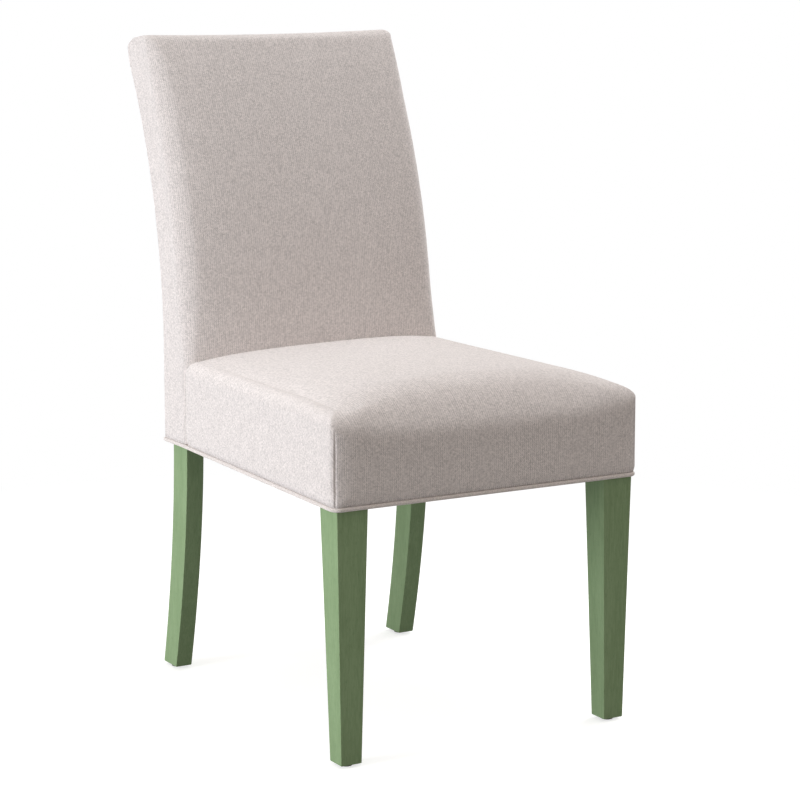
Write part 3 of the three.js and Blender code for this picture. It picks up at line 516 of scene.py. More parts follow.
# Seat foam
# A firm polyurethane slab, cut to the frame with its top edges rounded over, glued to the burlap.
seat_front = wood_frame_front - 0.0046
seat_rear = wood_frame_front + 0.5144
seat_front_half = 0.246
seat_rear_half = 0.221
seat_shoulder = 0.4945
seat_bottom = 0.3646
seat_corner_radius = 0.013
seat_side_roll = 0.022
seat_front_roll = 0.028
seat_roll_height = 0.024
wide_roll = 0.034
deep_roll = 0.027
roll_fullness = 0.9
roll_start = seat_shoulder - seat_roll_height
seat_swell = 0.0022
swell_height = 0.014
crease_roll = 0.006
side_end = seat_rear - 0.0244
seat_crown = 0.021
rear_crown = 0.0095
crown_power = 3
crown_start = 0.008
crown_run = 0.09
crown_end = 0.15
front_fall = 0.0085
fall_run = 0.15
filling_tilt = 0.0045
soft_corner = 0.0044
corner_lift = 0.3
pillow_reach = 0.042
pillow_depth = 0.0115
pillow_height = 0.03
wide_corner = 0.01
seam_gaps = (-0.003, -0.0017, -0.0008, 0, 0.0008, 0.0017, 0.003)
seam_columns = 6
foam_inset = 0.0049
foam_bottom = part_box("seat_foam")[0].z
front_columns = 34
corner_columns = 8
side_columns = 40
crease_columns = 5
wall_rows = 14
roll_rows = 12


def seat_half_at(y):
    """Half the seat's width, which falls evenly from the front to the rear."""
    share = (y - seat_front) / (seat_rear - seat_front)
    return seat_front_half + (seat_rear_half - seat_front_half) * share


def crease_turn(y):
    """How far the side turns in beside the back's front corner, on a quarter circle."""
    past = np.clip(y - side_end, 0, crease_roll)
    return crease_roll - np.sqrt(crease_roll ** 2 - past ** 2)


def crown_at(x, y):
    """Height of the top above the shoulder: a crown from side to side that is built up from the
    front edge backwards and sinks to a lower one at the back, less a fall by the square of the
    nearness to the front. The stuffing is a little fuller towards the right rear corner."""
    across = np.minimum(np.abs(x) / (seat_half_at(y) - seat_side_roll), 1)
    depth = y - seat_front
    built = 1 - (1 - np.clip((depth - crown_start) / crown_run, 0, 1)) ** 2
    sunk = np.clip((depth - crown_end) / (seat_rear - seat_front - crown_end), 0, 1)
    crown = seat_crown + (rear_crown - seat_crown) * sunk ** 2 * (3 - 2 * sunk)
    fall = front_fall * (1 - np.clip(depth / fall_run, 0, 1)) ** 2 * (0.35 + 0.65 * across ** 2)
    uneven = filling_tilt * x / seat_rear_half * depth / (seat_rear - seat_front)
    return crown * built * (1 - across ** crown_power) - fall + uneven


def seat_rows(inset, bottom):
    """The cushion's walls as rows of points, from its bottom level up and over the roll.
    Each row runs from the left crease round the front to the right crease. The roll is a quarter
    of a full ellipse, which reaches furthest in the middle of the front and least at the corners.
    In plan a corner is a circle at the bottom, and an ellipse longer along the front higher up."""
    wall = np.linspace(bottom, roll_start, wall_rows + 1)
    turn = np.linspace(0, np.pi / 2, roll_rows + 1)[1:]
    over = 1 - np.cos(turn).clip(0) ** roll_fullness
    over = np.concatenate([np.zeros(len(wall)), over])[:, None]
    rise = np.concatenate([np.zeros(len(wall)), np.sin(turn) ** roll_fullness])[:, None]
    level = np.concatenate([wall, np.full(len(turn), roll_start)])[:, None]
    swell = seat_swell * np.sin(np.clip((level - seat_bottom) / swell_height, 0, 1) * np.pi / 2)
    swell = swell * (1 - over)
    side_in = inset + (seat_side_roll - inset) * over - swell
    front_in = inset + (seat_front_roll - inset) * over - swell
    pillow = np.clip((level - seat_bottom) / pillow_height, 0, 1)
    pillow = pillow ** 2 * (3 - 2 * pillow)
    round_x = seat_corner_radius + (pillow_reach - seat_corner_radius) * pillow
    round_x = (round_x - inset) * (1 - over) + (pillow_reach - wide_corner) * over
    round_y = seat_corner_radius + (pillow_depth - seat_corner_radius) * pillow
    round_y = (round_y - inset) * (1 - over) + (seat_corner_radius + soft_corner) * over
    front = seat_front + front_in

    def half_at(y):
        return seat_half_at(y) - crease_turn(y) - side_in

    seam_turn = np.pi / 4 + np.pi / 12 * pillow
    speed = np.hypot(round_x * np.cos(seam_turn), round_y * np.sin(seam_turn))
    at_seam = seam_turn + np.array(seam_gaps) / speed
    before = at_seam[:, :1] * np.linspace(0, 1, corner_columns + 1)[:-1]
    after = at_seam[:, -1:] + (np.pi / 2 - at_seam[:, -1:]) * np.linspace(0, 1, 4)[1:]
    turned = np.concatenate([before, at_seam, after], axis=1)
    corner_y = front + round_y * (1 - np.cos(turned))
    corner_x = half_at(corner_y) - round_x * (1 - np.sin(turned))
    spread = np.linspace(0, 1, front_columns + 1)[:-1]
    straight = spread * corner_x[:, :1]
    straight_y = front + wide_roll * over * (1 - spread ** 4)
    side_start = corner_y[:, -1:]
    side_y = side_start + (side_end - side_start) * np.linspace(0, 1, side_columns + 1)[1:]
    creased = side_end + crease_roll * np.sin(np.linspace(0, np.pi / 2, crease_columns)[1:])
    crease_y = np.append(creased, seat_rear) + np.zeros_like(side_start)
    y = np.concatenate([straight_y, corner_y, side_y, crease_y], axis=1)
    x = np.concatenate([straight, corner_x, half_at(side_y), half_at(crease_y)], axis=1)
    lower = np.zeros(x.shape)
    lower[:, :front_columns] = deep_roll * (1 - corner_lift * spread ** 4)
    lower[:, front_columns:front_columns + turned.shape[1]] = (
        deep_roll * (1 - corner_lift) * np.cos(turned) ** 2)
    x = np.concatenate([-x[:, :0:-1], x], axis=1)
    y = np.concatenate([y[:, :0:-1], y], axis=1)
    lower = np.concatenate([lower[:, :0:-1], lower], axis=1)
    share = (level - bottom) / (roll_start - bottom)
    z = level - lower * share + rise * (seat_roll_height + lower - inset + crown_at(x, y))
    return np.stack([x, y, z], axis=-1), over


def filled_patch(front, rear, left, right):
    """A grid inside four edges: the sum of the two blends between opposite edges, less the blend
    of the four corners. The edges' own spacing is kept."""
    across = np.linalg.norm(np.diff(front, axis=0), axis=1).cumsum()
    across = np.concatenate([[0], across / across[-1]])[None, :, None]
    along = np.linalg.norm(np.diff(left, axis=0), axis=1).cumsum()
    along = np.concatenate([[0], along / along[-1]])[:, None, None]
    ruled = front[None] * (1 - along) + rear[None] * along
    ruled = ruled + left[:, None] * (1 - across) + right[:, None] * across
    corners = (front[0] * (1 - along) + rear[0] * along) * (1 - across)
    corners = corners + (front[-1] * (1 - along) + rear[-1] * along) * across
    return ruled - corners


def run_lengths(points, axis):
    """How far along a row or column each point of a grid lies from its first point."""
    steps = np.linalg.norm(np.diff(points, axis=axis), axis=-1)
    pad = [(1, 0) if axis == k else (0, 0) for k in range(2)]
    return np.pad(steps, pad).cumsum(axis=axis)


def seat_edges(rows):
    """Point numbers of the front, left and right edges of the top, and the points of its rear edge,
    which is straight and spaced as the front edge is. The corners are the two front seams."""
    count = rows.shape[1]
    side = seam_columns + side_columns + crease_columns
    across = count - 2 * side
    last = rows[-1]
    share = run_lengths(last[None, side:side + across], 1)[0]
    share = (share / share[-1])[:, None]
    rear = last[0] * (1 - share) + last[-1] * share
    front = np.arange(side, side + across)
    return front, np.arange(side, -1, -1), np.arange(side + across - 1, count), rear


def seat_top(rows, inset):
    """The cushion's top, as a patch inside the last row that follows the crown."""
    front, left, right, rear = seat_edges(rows)
    patch = filled_patch(rows[-1][front], rear, rows[-1][left], rows[-1][right])
    patch[..., 2] = seat_shoulder - inset + crown_at(patch[..., 0], patch[..., 1])
    return patch


def closed_block(name, *grids):
    """A closed form from grids of points whose edges meet: their doubles are merged, and all
    faces are turned outwards."""
    starts = np.cumsum([0] + [grid.shape[0] * grid.shape[1] for grid in grids])
    faces = [grid_faces(*grid.shape[:2]) + start for grid, start in zip(grids, starts)]
    points = np.concatenate([grid.reshape(-1, 3) for grid in grids])
    block = mesh_piece(name, points, *faces)
    shell = bmesh.new()
    shell.from_mesh(block.data)
    bmesh.ops.remove_doubles(shell, verts=shell.verts, dist=0.00001)
    bmesh.ops.recalc_face_normals(shell, faces=shell.faces)
    shell.to_mesh(block.data)
    shell.free()
    return block


def foam_finish(name, light, dark, cell):
    """Cut open-cell foam: fine round pores of one size, painted darker inside as shade, and broad
    faint clouds of colour.
    """
    finish = Finish(name, Specular_IOR_Level=0.2)
    place = finish.place()
    pores = finish.node("ShaderNodeTexVoronoi", {}, {"Vector": place, "Scale": 1 / cell})
    cloud = finish.noise(finish.place((16, 16, 16)), 1.0, 3.0, 0.55)
    walls = finish.between(pores, 0.1, 0.55)
    # The middle of each pore is painted darker: painted shade inside the open cell.
    colour = finish.mix(walls * 0.6 + cloud * 0.4, dark, light)
    finish.show(colour, 0.88 + cloud * 0.1, walls, 0.0004)
    return finish


foam = foam_finish("foam", (0.82, 0.74, 0.5, 1), (0.62, 0.53, 0.33, 1), 0.0016)
rows, _ = seat_rows(foam_inset, foam_bottom)
top = seat_top(rows, foam_inset)
front, left, right, _ = seat_edges(rows)
low_share = run_lengths(top[-1][None], 1)[0]
low_share = (low_share / low_share[-1])[:, None]
low_rear = rows[0][0] * (1 - low_share) + rows[0][-1] * low_share
underside = filled_patch(rows[0][front], low_rear, rows[0][left], rows[0][right])
rear_wall = filled_patch(low_rear, top[-1], rows[:, 0], rows[:, -1])
seat_foam = closed_block("seat_foam_slab", rows, top, underside, rear_wall)
foam.put_on(seat_foam)
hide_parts("seat_foam")

# Seat wadding
# A soft polyester layer over the foam, pulled down over the rails, so that no edge shows
# through the linen.
wadding_inset = 0.0031
wadding_thickness = 0.0014
wadding = Finish("wadding", Sheen_Weight=0.4, Specular_IOR_Level=0.1)
fluff = wadding.noise(wadding.place((260, 260, 260)), 1.0, 5.0, 0.7)
tufts = wadding.noise(wadding.place((45, 45, 45)), 1.0, 3.0, 0.6)
white = wadding.mix(fluff, (0.74, 0.73, 0.7, 1), (0.9, 0.9, 0.88, 1))
wadding.show(white, 0.9 + fluff * 0.08, fluff + tufts, 0.0012)


def seat_skin(name, inset, bottom):
    """The cushion's skin as one open piece, with a cloth map. On the top the cloth lies square to
    the chair, and it runs on down the front and the sides from there, so it meets itself at the
    seams of the two front corners. Returns the piece and the shape of its rows."""
    rows, over = seat_rows(inset, bottom)
    patch = seat_top(rows, inset)
    front, left, right, _ = seat_edges(rows)
    count, across, side = rows.shape[1], len(front), len(left) - 1
    offset = (len(rows) - 1) * count
    numbers = np.zeros(patch.shape[:2], int)
    inner = np.arange(side * (across - 2)).reshape(side, across - 2)
    numbers[1:, 1:-1] = len(rows) * count + inner
    numbers[0], numbers[:, 0], numbers[:, -1] = offset + front, offset + left, offset + right
    top = np.stack([numbers[:-1, :-1], numbers[:-1, 1:], numbers[1:, 1:], numbers[1:, :-1]], axis=-1)
    walls = grid_faces(len(rows), count)
    points = np.concatenate([rows.reshape(-1, 3), patch[1:, 1:-1].reshape(-1, 3)])
    skin = mesh_piece(name, points, walls, top.reshape(-1, 4))
    drop = run_lengths(rows[::-1], 0)[::-1]
    around = run_lengths(rows, 1)
    around = around - around[:, count // 2][:, None]
    front_u = around * (1 - over) + rows[-1:, :, 0] * over
    side_u = np.sign(rows[..., 0]) * (np.abs(rows[-1:, :, 0]) + drop)
    places = np.stack([front_u, rows[-1:, :, 1] - drop, rows[..., 1], side_u], axis=-1).reshape(-1, 4)
    column = np.tile(np.arange(count - 1), len(rows) - 1)[:, None, None]
    on_front = (column >= side) & (column < side + across - 1)
    wall_places = np.where(on_front, places[walls][..., :2], places[walls][..., 2:])
    flat = patch[..., :2]
    top_places = np.stack([flat[:-1, :-1], flat[:-1, 1:], flat[1:, 1:], flat[1:, :-1]], axis=-2)
    put_cloth_map(skin, np.concatenate([wall_places.reshape(-1, 2), top_places.reshape(-1, 2)]))
    return skin, rows.shape[:2]


def put_cloth_map(piece, corner_places):
    """Writes the cloth's own places, in metres, one for each corner of each face."""
    cloth = piece.data.uv_layers.new(name="cloth")
    cloth.data.foreach_set("uv", corner_places.astype(np.float32).ravel())


def thicken(piece, thickness):
    """Gives a skin its thickness, towards the inside."""
    thick = piece.modifiers.new("thickness", "SOLIDIFY")
    thick.thickness = thickness
    thick.offset = -1.0


seat_wadding, _ = seat_skin("seat_wadding_layer", wadding_inset, seat_bottom)
thicken(seat_wadding, wadding_thickness)
wadding.put_on(seat_wadding)
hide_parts("seat_wadding")

# Seat cover
# One tight linen cover over the wadding. It rolls over the sides and the front without a seam,
# is sewn down the two front corners, and is tacked under the rails and behind the back.
cover_thickness = 0.001
start_inset = 0.0008
settled_share = 0.12
most_movement = 0.001
most_sinking = 0.0003
air_pressure = 4.0
settling_frames = 20
seam_depth = 0.0008
seam_ridge = 0.0004
seam_half_width = 0.0011
seam_top = 0.468


def linen_finish(name, colour, pitch=0.00165):
    """Plain-woven linen. Upright and level threads pass over each other by turns, at the thread
    pitch. Every second upright thread is a little lighter. Each thread has its own tone, which
    changes as it thickens and thins, and the gaps between the threads are darker: painted shade."""
    finish = Finish(name, Sheen_Weight=0.12, Sheen_Roughness=0.5, Specular_IOR_Level=0.1,
                    Diffuse_Roughness=0.5)
    spot = finish.cloth_place()
    across = finish.part(spot, 0) / pitch
    along = finish.part(spot, 1) / pitch
    column, row = across.whole(), along.whole()
    upright_spot = finish.node("ShaderNodeCombineXYZ", {}, {0: column * 7.31, 1: along * 0.55})
    slub_spot = finish.node("ShaderNodeCombineXYZ", {}, {0: column * 5.17, 1: along * 0.1, 2: 20.0})
    level_spot = finish.node("ShaderNodeCombineXYZ", {}, {0: across * 0.45, 1: row * 7.31, 2: 40.0})
    upright = finish.noise(upright_spot, 1.0, 1.0, 0.5)
    slubs = finish.noise(slub_spot, 1.0, 1.0, 0.5)
    flat = finish.noise(level_spot, 1.0, 1.0, 0.5)
    over = (column + row).left_over(2.0)
    pair = column.left_over(2.0)
    tone = upright * 0.32 + slubs * 0.17 + flat * 0.38 + over * 0.06 + pair * 0.07
    share = finish.between(tone, 0.32, 0.68)
    dark = tuple(channel * 0.76 for channel in colour) + (1,)
    light = tuple(min(channel * 1.25, 1) for channel in colour) + (1,)
    # gap is a painted shade, mixed in where the threads dip into the gaps between them.
    gap = tuple(channel * 0.5 for channel in colour) + (1,)
    pillow = (across * math.pi).sine().size() * (along * math.pi).sine().size()
    shade = finish.mix(share, dark, light)
    shade = finish.mix(finish.between(pillow, 0.0, 0.5) * 0.22 + 0.78, gap, shade)
    finish.show(shade, 0.88 + tone * 0.1, pillow * 0.6 + tone, 0.00016)
    return finish


def settled(piece, held, frames=settling_frames):
    """Lets a cover settle over its stuffing. A copy of it is blown out as cloth by an even pressure,
    with its held points fixed. The cover takes a share of that movement along its normals, which
    is drawn towards a small most movement outwards and a smaller one inwards."""
    cloth_copy = piece.copy()
    cloth_copy.data = piece.data.copy()
    bpy.context.scene.collection.objects.link(cloth_copy)
    group = cloth_copy.vertex_groups.new(name="held")
    group.add([int(number) for number in held], 1.0, "REPLACE")
    cloth = cloth_copy.modifiers.new("cloth", "CLOTH")
    cloth.settings.vertex_group_mass = "held"
    cloth.settings.use_pressure = True
    cloth.settings.uniform_pressure_force = air_pressure
    cloth.settings.effector_weights.gravity = 0.0
    cloth.settings.quality = 5
    cloth.settings.bending_stiffness = 2.0
    cloth.point_cache.frame_start = 1
    cloth.point_cache.frame_end = frames
    for number in range(1, frames + 1):
        bpy.context.scene.frame_set(number)
    shown = cloth_copy.evaluated_get(bpy.context.evaluated_depsgraph_get())
    blown = shown.to_mesh()
    after = np.zeros(len(blown.vertices) * 3, np.float32)
    blown.vertices.foreach_get("co", after)
    before = np.zeros_like(after)
    piece.data.vertices.foreach_get("co", before)
    shown.to_mesh_clear()
    bpy.context.scene.frame_set(1)
    normals = np.zeros_like(after)
    piece.data.vertices.foreach_get("normal", normals)
    normals = normals.reshape(-1, 3)
    outward = settled_share * ((after - before).reshape(-1, 3) * normals).sum(axis=1)
    most = np.where(outward > 0, most_movement, most_sinking)
    outward = most * np.tanh(outward / most)
    piece.data.vertices.foreach_set("co", before + (normals * outward[:, None]).ravel())
    piece.data.update()
    bpy.data.objects.remove(cloth_copy)


def moved_along_normals(piece, numbers, distances):
    """Moves some points of a piece along their own normals."""
    points = np.zeros(len(piece.data.vertices) * 3, np.float32)
    normals = np.zeros_like(points)
    piece.data.vertices.foreach_get("co", points)
    piece.data.vertices.foreach_get("normal", normals)
    points, normals = points.reshape(-1, 3), normals.reshape(-1, 3)
    points[numbers] += normals[numbers] * distances[:, None]
    piece.data.vertices.foreach_set("co", points.ravel())
    piece.data.update()


linen_colour = (0.73, 0.675, 0.655)
linen = linen_finish("linen", linen_colour)

seat_cover, (row_count, column_count) = seat_skin("seat_cover_linen", start_inset, seat_bottom)
numbers = np.arange(row_count * column_count).reshape(row_count, column_count)
rear_points = np.nonzero(np.array([vertex.co.y for vertex in seat_cover.data.vertices])
                         > seat_rear - 0.0005)[0]
settled(seat_cover, np.unique(np.concatenate([numbers[0], rear_points])))
seam_column = seam_columns + side_columns + crease_columns
spots = np.array([vertex.co for vertex in seat_cover.data.vertices])
for column in (seam_column, column_count - 1 - seam_column):
    near = numbers[:, column - 4:column + 5]
    gap = np.linalg.norm(spots[near] - spots[numbers[:, column]][:, None], axis=-1)
    profile = seam_ridge * np.exp(-((gap - 2.4 * seam_half_width) / seam_half_width) ** 2)
    profile = profile - seam_depth * np.exp(-(gap / seam_half_width) ** 2)
    fade = np.clip((seam_top - spots[numbers[:, column], 2]) / 0.014, 0, 1)
    moved_along_normals(seat_cover, near.ravel(), (fade[:, None] * profile).ravel())
thicken(seat_cover, cover_thickness)
linen.put_on(seat_cover)
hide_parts("seat_cover")

# Back foam, side pads and wadding
# A foam sheet over the bend and the top of the frame, a thin pad down the outside of each post,
# and wadding over the card behind.
back_rear = seat_rear + 0.068
back_bend = 0.9
back_thickness = 0.085
back_half = 0.221
back_front_radius = 0.027
back_rear_radius = 0.012
back_top_roll = 0.018
back_top_end_roll = 0.0045
back_top_rise = 0.015
end_rise = 0.0085
back_top_radius = 0.012
back_top_drop = 0.013
back_crown = 0.013
crown_edge_power = 2.8
top_lift = 0.0018
top_dip = 0.0034
top_tilt = 0.0008
tight_start = 0.86
tighter_radius = 0.011
pulled_top = 0.6
lower_fullness = 0.0035
lower_tightness = 0.0115
top_roll_start = back_top - back_top_rise
foam_back_radius = 0.9574
card_radius = 0.9077
back_front_columns = 32
back_corner_columns = 10
back_side_columns = 10
back_low_rows = 12
back_high_rows = 62
back_roll_rows = 9
rear_corner_ease = 0.004


def depth_at(radius, level):
    """y of an arc about the bend's middle, at a level."""
    return bend_middle - np.sqrt(radius ** 2 - np.maximum(level - bend_level, 0) ** 2)


def back_rows(inset, bottom, highest_row=top_roll_start):
    """The back's skin as closed rows of points, from the bottom up and over the top's roll.
    A row is a rectangle with larger corner circles at the front and a front side that stands out
    most in its middle. It is level at the bend and tilts up to the top's own slope. The roll
    follows a quarter circle at the front and rear, and a tighter one at the two ends."""
    level = np.concatenate([np.linspace(bottom, bend_level, back_low_rows + 1)[:-1],
                            np.linspace(bend_level, highest_row, back_high_rows + 1)])
    turn = np.linspace(0, np.pi / 2, back_roll_rows + 1)[1:]
    over = np.concatenate([np.zeros(len(level)), 1 - np.cos(turn)])[:, None]
    rising = np.concatenate([np.zeros(len(level)), np.sin(turn)])[:, None]
    level = np.concatenate([level, np.full(len(turn), highest_row)])[:, None]
    middle_radius = back_bend + back_thickness / 2
    lean = math.tan(math.asin((highest_row - bend_level) / middle_radius))
    up = np.maximum(level - bend_level, 0) / (highest_row - bend_level)
    slope = up * back_top_drop / back_thickness
    front_level = level + slope * back_top_roll
    rear_level = front_level - slope * back_thickness
    face_roll = (back_top_roll - inset) * over
    rise = (back_top_rise - inset) * rising
    front = depth_at(back_bend + back_thickness - inset, front_level) + lean * rise + face_roll
    rear = depth_at(back_bend + inset, rear_level) + lean * rise - face_roll
    half = back_half - narrowing_at(level) - inset - (back_top_end_roll - inset) * over
    near_seat = np.clip((pulled_top - level) / (pulled_top - seat_shoulder), 0, 1) ** 2
    front = front - lower_fullness * near_seat
    tight = np.clip((level - tight_start) / (highest_row - tight_start), 0, 1) * tighter_radius
    tight = tight + lower_tightness * near_seat
    front_radius = (back_front_radius - tight - inset) * (1 - over) + back_top_radius * over
    rear_radius = (back_rear_radius - inset) * (1 - over) + back_top_radius * over
    turned = np.linspace(0, np.pi / 2, back_corner_columns + 1)
    front_x = half - front_radius * (1 - np.sin(turned))
    front_y = front + front_radius * (1 - np.cos(turned))
    rear_x = half - rear_radius * (1 - np.cos(turned))
    rear_y = rear - rear_radius * (1 - np.sin(turned))
    spread = np.linspace(0, 1, back_front_columns + 1)
    straight = spread[:-1] * front_x[:, :1]
    between = np.linspace(0, 1, back_side_columns + 1)[1:-1]
    side_y = front_y[:, -1:] + (rear_y[:, :1] - front_y[:, -1:]) * between
    behind = (1 - spread[1:]) * rear_x[:, -1:]
    x = np.concatenate([straight, front_x, half + 0 * side_y, rear_x, behind], axis=1)
    y = np.concatenate([front + 0 * straight, front_y, side_y, rear_y, rear + 0 * behind], axis=1)
    on_end = np.concatenate([np.zeros(back_front_columns), np.sin(turned) ** 2,
                             np.ones(back_side_columns - 1), np.cos(turned) ** 2,
                             np.zeros(back_front_columns)])
    across = np.clip(x / half, -1, 1)
    ahead = np.clip(1 - (y - front) / (front_radius + 0.0001), 0, 1)
    y = y - back_crown * (1 - over) * (1 - across ** crown_edge_power) * ahead
    depth = np.clip((y - front) / (rear - front), 0, 1)
    corner = np.clip((np.abs(across) - 0.84) / 0.16, 0, 1) * np.clip((depth - 0.6) / 0.4, 0, 1)
    corner = corner * np.clip((level + rise - back_top + 0.035) / 0.03, 0, 1)
    ends = (1 - (end_rise / back_top_rise) * (1 - rising)) * (rising > 0)
    rise = (back_top_rise - inset) * (rising * (1 - on_end) + ends * on_end)
    x = x - rear_corner_ease * corner * np.sign(across)
    y = y - rear_corner_ease * corner
    pivot = depth_at(back_bend + back_thickness, front_level) + lean * back_top_rise + back_top_roll
    z = level + rise - slope * (y - pivot) - rear_corner_ease * corner
    z = z + (top_lift - top_dip * (1 - across ** 2)) * rising
    x = np.concatenate([x, -x[:, -2:0:-1]], axis=1)
    y = np.concatenate([y, y[:, -2:0:-1]], axis=1)
    z = np.concatenate([z, z[:, -2:0:-1]], axis=1) + top_tilt * x / half * rising
    return np.stack([x, y, z], axis=-1), over


def back_edges(count):
    """Column numbers of the front, rear, left and right edges of the top, cornered at the middle
    of each corner circle. Columns start at the middle of the front and go round by the right."""
    front_part = back_front_columns + back_corner_columns // 2
    side_part = back_corner_columns + back_side_columns
    order = np.roll(np.arange(count), front_part)
    across = 2 * front_part
    front = order[:across + 1]
    right = order[across:across + side_part + 1]
    rear = order[across + side_part:2 * across + side_part + 1][::-1]
    left = np.concatenate([order[:1], order[::-1][:side_part]])
    return front, rear, left, right


rows, _ = back_rows(foam_inset, bend_level)
behind_foam = depth_at(foam_back_radius, rows[..., 2])
below_crest = np.clip((0.951 - rows[..., 2]) / 0.003, 0, 1)
flattened = np.minimum(rows[..., 1], behind_foam)
rows[..., 1] = rows[..., 1] * (1 - below_crest) + flattened * below_crest
top = filled_patch(*[rows[-1][edge] for edge in back_edges(rows.shape[1])])
underside = filled_patch(*[rows[0][edge] for edge in back_edges(rows.shape[1])])
back_foam = closed_block("back_foam_sheet", np.concatenate([rows, rows[:, :1]], axis=1), top, underside)
foam.put_on(back_foam)
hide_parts("back_foam")


def bent_rows(radius, bottom, top_angle):
    """y and z down the bent back at one radius: straight below the bend, an arc above it."""
    low = np.linspace(bottom, bend_level, 7)[:-1]
    straight = np.stack([np.full(len(low), bend_middle - radius), low], axis=-1)
    return np.concatenate([straight, on_bend(radius, np.linspace(0, top_angle, 25))])


pad_front, pad_rear = foam_back_radius - 0.0006, card_radius + 0.0024
for side, stem in ((-1, "left"), (1, "right")):
    low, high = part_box(f"back_side_pad_{stem}")
    fronts = bent_rows(pad_front, low.z, post_top_angle)
    rears = bent_rows(pad_rear, low.z, post_top_angle)
    near, far = sorted((abs(low.x), abs(high.x)))
    narrowed = narrowing_at((fronts[:, 1] + rears[:, 1]) / 2)
    near_x = side * (near + back_narrowing + 0.0004 - narrowed)
    far_x = side * (far - 0.0018 - narrowed)
    pad = eased_bar(f"side_pad_{stem}", fronts, rears,
                    np.minimum(near_x, far_x), np.maximum(near_x, far_x))
    foam.put_on(pad)
    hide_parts(f"back_side_pad_{stem}")

rear_low, rear_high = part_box("outside_back_wadding")
fronts = bent_rows(card_radius - 0.0006, rear_low.z, post_top_angle)
rears = bent_rows(back_bend + 0.0034, rear_low.z, post_top_angle)
half = rear_high.x - 0.006 - narrowing_at(fronts[:, 1])
rear_wadding = eased_bar("outside_back_wadding_layer", fronts, rears, -half, half)
wadding.put_on(rear_wadding)
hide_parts("outside_back_wadding")

# Outside back card
# A sheet of tough pressed card tacked to the rear of the posts, which keeps the back flat.
backing_card = Finish("backing_card", Specular_IOR_Level=0.25)
pulp = backing_card.noise(backing_card.place((420, 420, 420)), 1.0, 5.0, 0.7)
stains = backing_card.noise(backing_card.place((22, 22, 22)), 1.0, 3.0, 0.55)
tan = backing_card.mix(pulp * 0.6 + stains * 0.4, (0.3, 0.22, 0.14, 1), (0.5, 0.39, 0.26, 1))
backing_card.show(tan, 0.75 + pulp * 0.15, pulp, 0.0001)
backing_card.put_on(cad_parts["outside_back_card"])

# Back cover
# One linen piece, pulled up the bent front, over the top and round both sides, and turned in
# round the opening at the rear.
panel_low, panel_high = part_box("outside_back_panel")
panel_margin = 0.012


def back_skin(name, inset, bottom, opening):
    """The back's skin as one piece with a patch over its top, open below and at the rear inside
    the opening's half width and height, with a cloth map that runs up the front."""
    rows, over = back_rows(inset, bottom)
    count = rows.shape[1]
    front, rear, left, right = back_edges(count)
    patch = filled_patch(*[rows[-1][edge] for edge in (front, rear, left, right)])
    numbers = np.zeros(patch.shape[:2], int)
    offset = (len(rows) - 1) * count
    inner = np.arange(numbers[1:-1, 1:-1].size).reshape(numbers[1:-1, 1:-1].shape)
    numbers[1:-1, 1:-1] = len(rows) * count + inner
    numbers[0], numbers[-1] = offset + front, offset + rear
    numbers[:, 0], numbers[:, -1] = offset + left, offset + right
    top = np.stack([numbers[:-1, :-1], numbers[:-1, 1:], numbers[1:, 1:], numbers[1:, :-1]], axis=-1)
    walls = grid_faces(len(rows), count, wrapped=True)
    points = np.concatenate([rows.reshape(-1, 3), patch[1:-1, 1:-1].reshape(-1, 3)])
    closed = np.concatenate([rows, rows[:, :1]], axis=1)
    around, up = run_lengths(closed, 1), run_lengths(closed, 0)
    past_rear = np.arange(count) >= count // 2
    around = np.stack([around[:, :-1], around[:, 1:]], axis=-1)
    around = around - past_rear[:, None] * around[:, -1:, 1:]
    up = np.stack([up[:, :-1], up[:, 1:]], axis=-1)
    places = np.stack([around, up], axis=-1)
    wall_places = np.concatenate([places[:-1], places[1:, :, ::-1]], axis=2).reshape(-1, 4, 2)
    flat = patch[..., :2] + np.array([0, run_lengths(rows, 0)[-1, 0] - patch[0, 0, 1]])
    top_places = np.stack([flat[:-1, :-1], flat[:-1, 1:], flat[1:, 1:], flat[1:, :-1]], axis=-2)
    centre = points[walls].mean(axis=1)
    column = np.tile(np.arange(count), len(rows) - 1)
    side_part = back_corner_columns + back_side_columns
    start = len(front) // 2 + side_part
    cut = (column >= start) & (column < count - start)
    cut = cut & (np.abs(centre[:, 0]) < opening[0]) & (centre[:, 2] < opening[1])
    walls, wall_places = walls[~cut], wall_places[~cut]
    top = top.reshape(-1, 4)
    used = np.unique(np.concatenate([walls.ravel(), top.ravel()]))
    renumber = np.full(len(points), -1)
    renumber[used] = np.arange(len(used))
    skin = mesh_piece(name, points[used], renumber[walls], renumber[top])
    put_cloth_map(skin, np.concatenate([wall_places.reshape(-1, 2), top_places.reshape(-1, 2)]))
    return skin


opening = (panel_high.x - panel_margin, panel_high.z - panel_margin)
back_cover = back_skin("back_cover_linen", start_inset, seat_bottom, opening)
places = np.array([vertex.co for vertex in back_cover.data.vertices])
at_bottom = places[:, 2] < seat_bottom + 0.0005
at_opening = (places[:, 1] > depth_at(back_bend + 0.004, places[:, 2]))
at_opening = at_opening & (np.abs(places[:, 0]) < opening[0] + 0.004)
settled(back_cover, np.nonzero(at_bottom | at_opening)[0])
thicken(back_cover, cover_thickness)
linen.put_on(back_cover)
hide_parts("back_cover")

# Outside back panel
# A flat linen panel over wadding and card, its edges turned in and slip-stitched to the cover
# by hand, which pulls it in a little at each stitch.
panel_rows = 150
panel_columns = 84
panel_crown = 0.0016
stitch_length = 0.011
stitch_pull = 0.0003


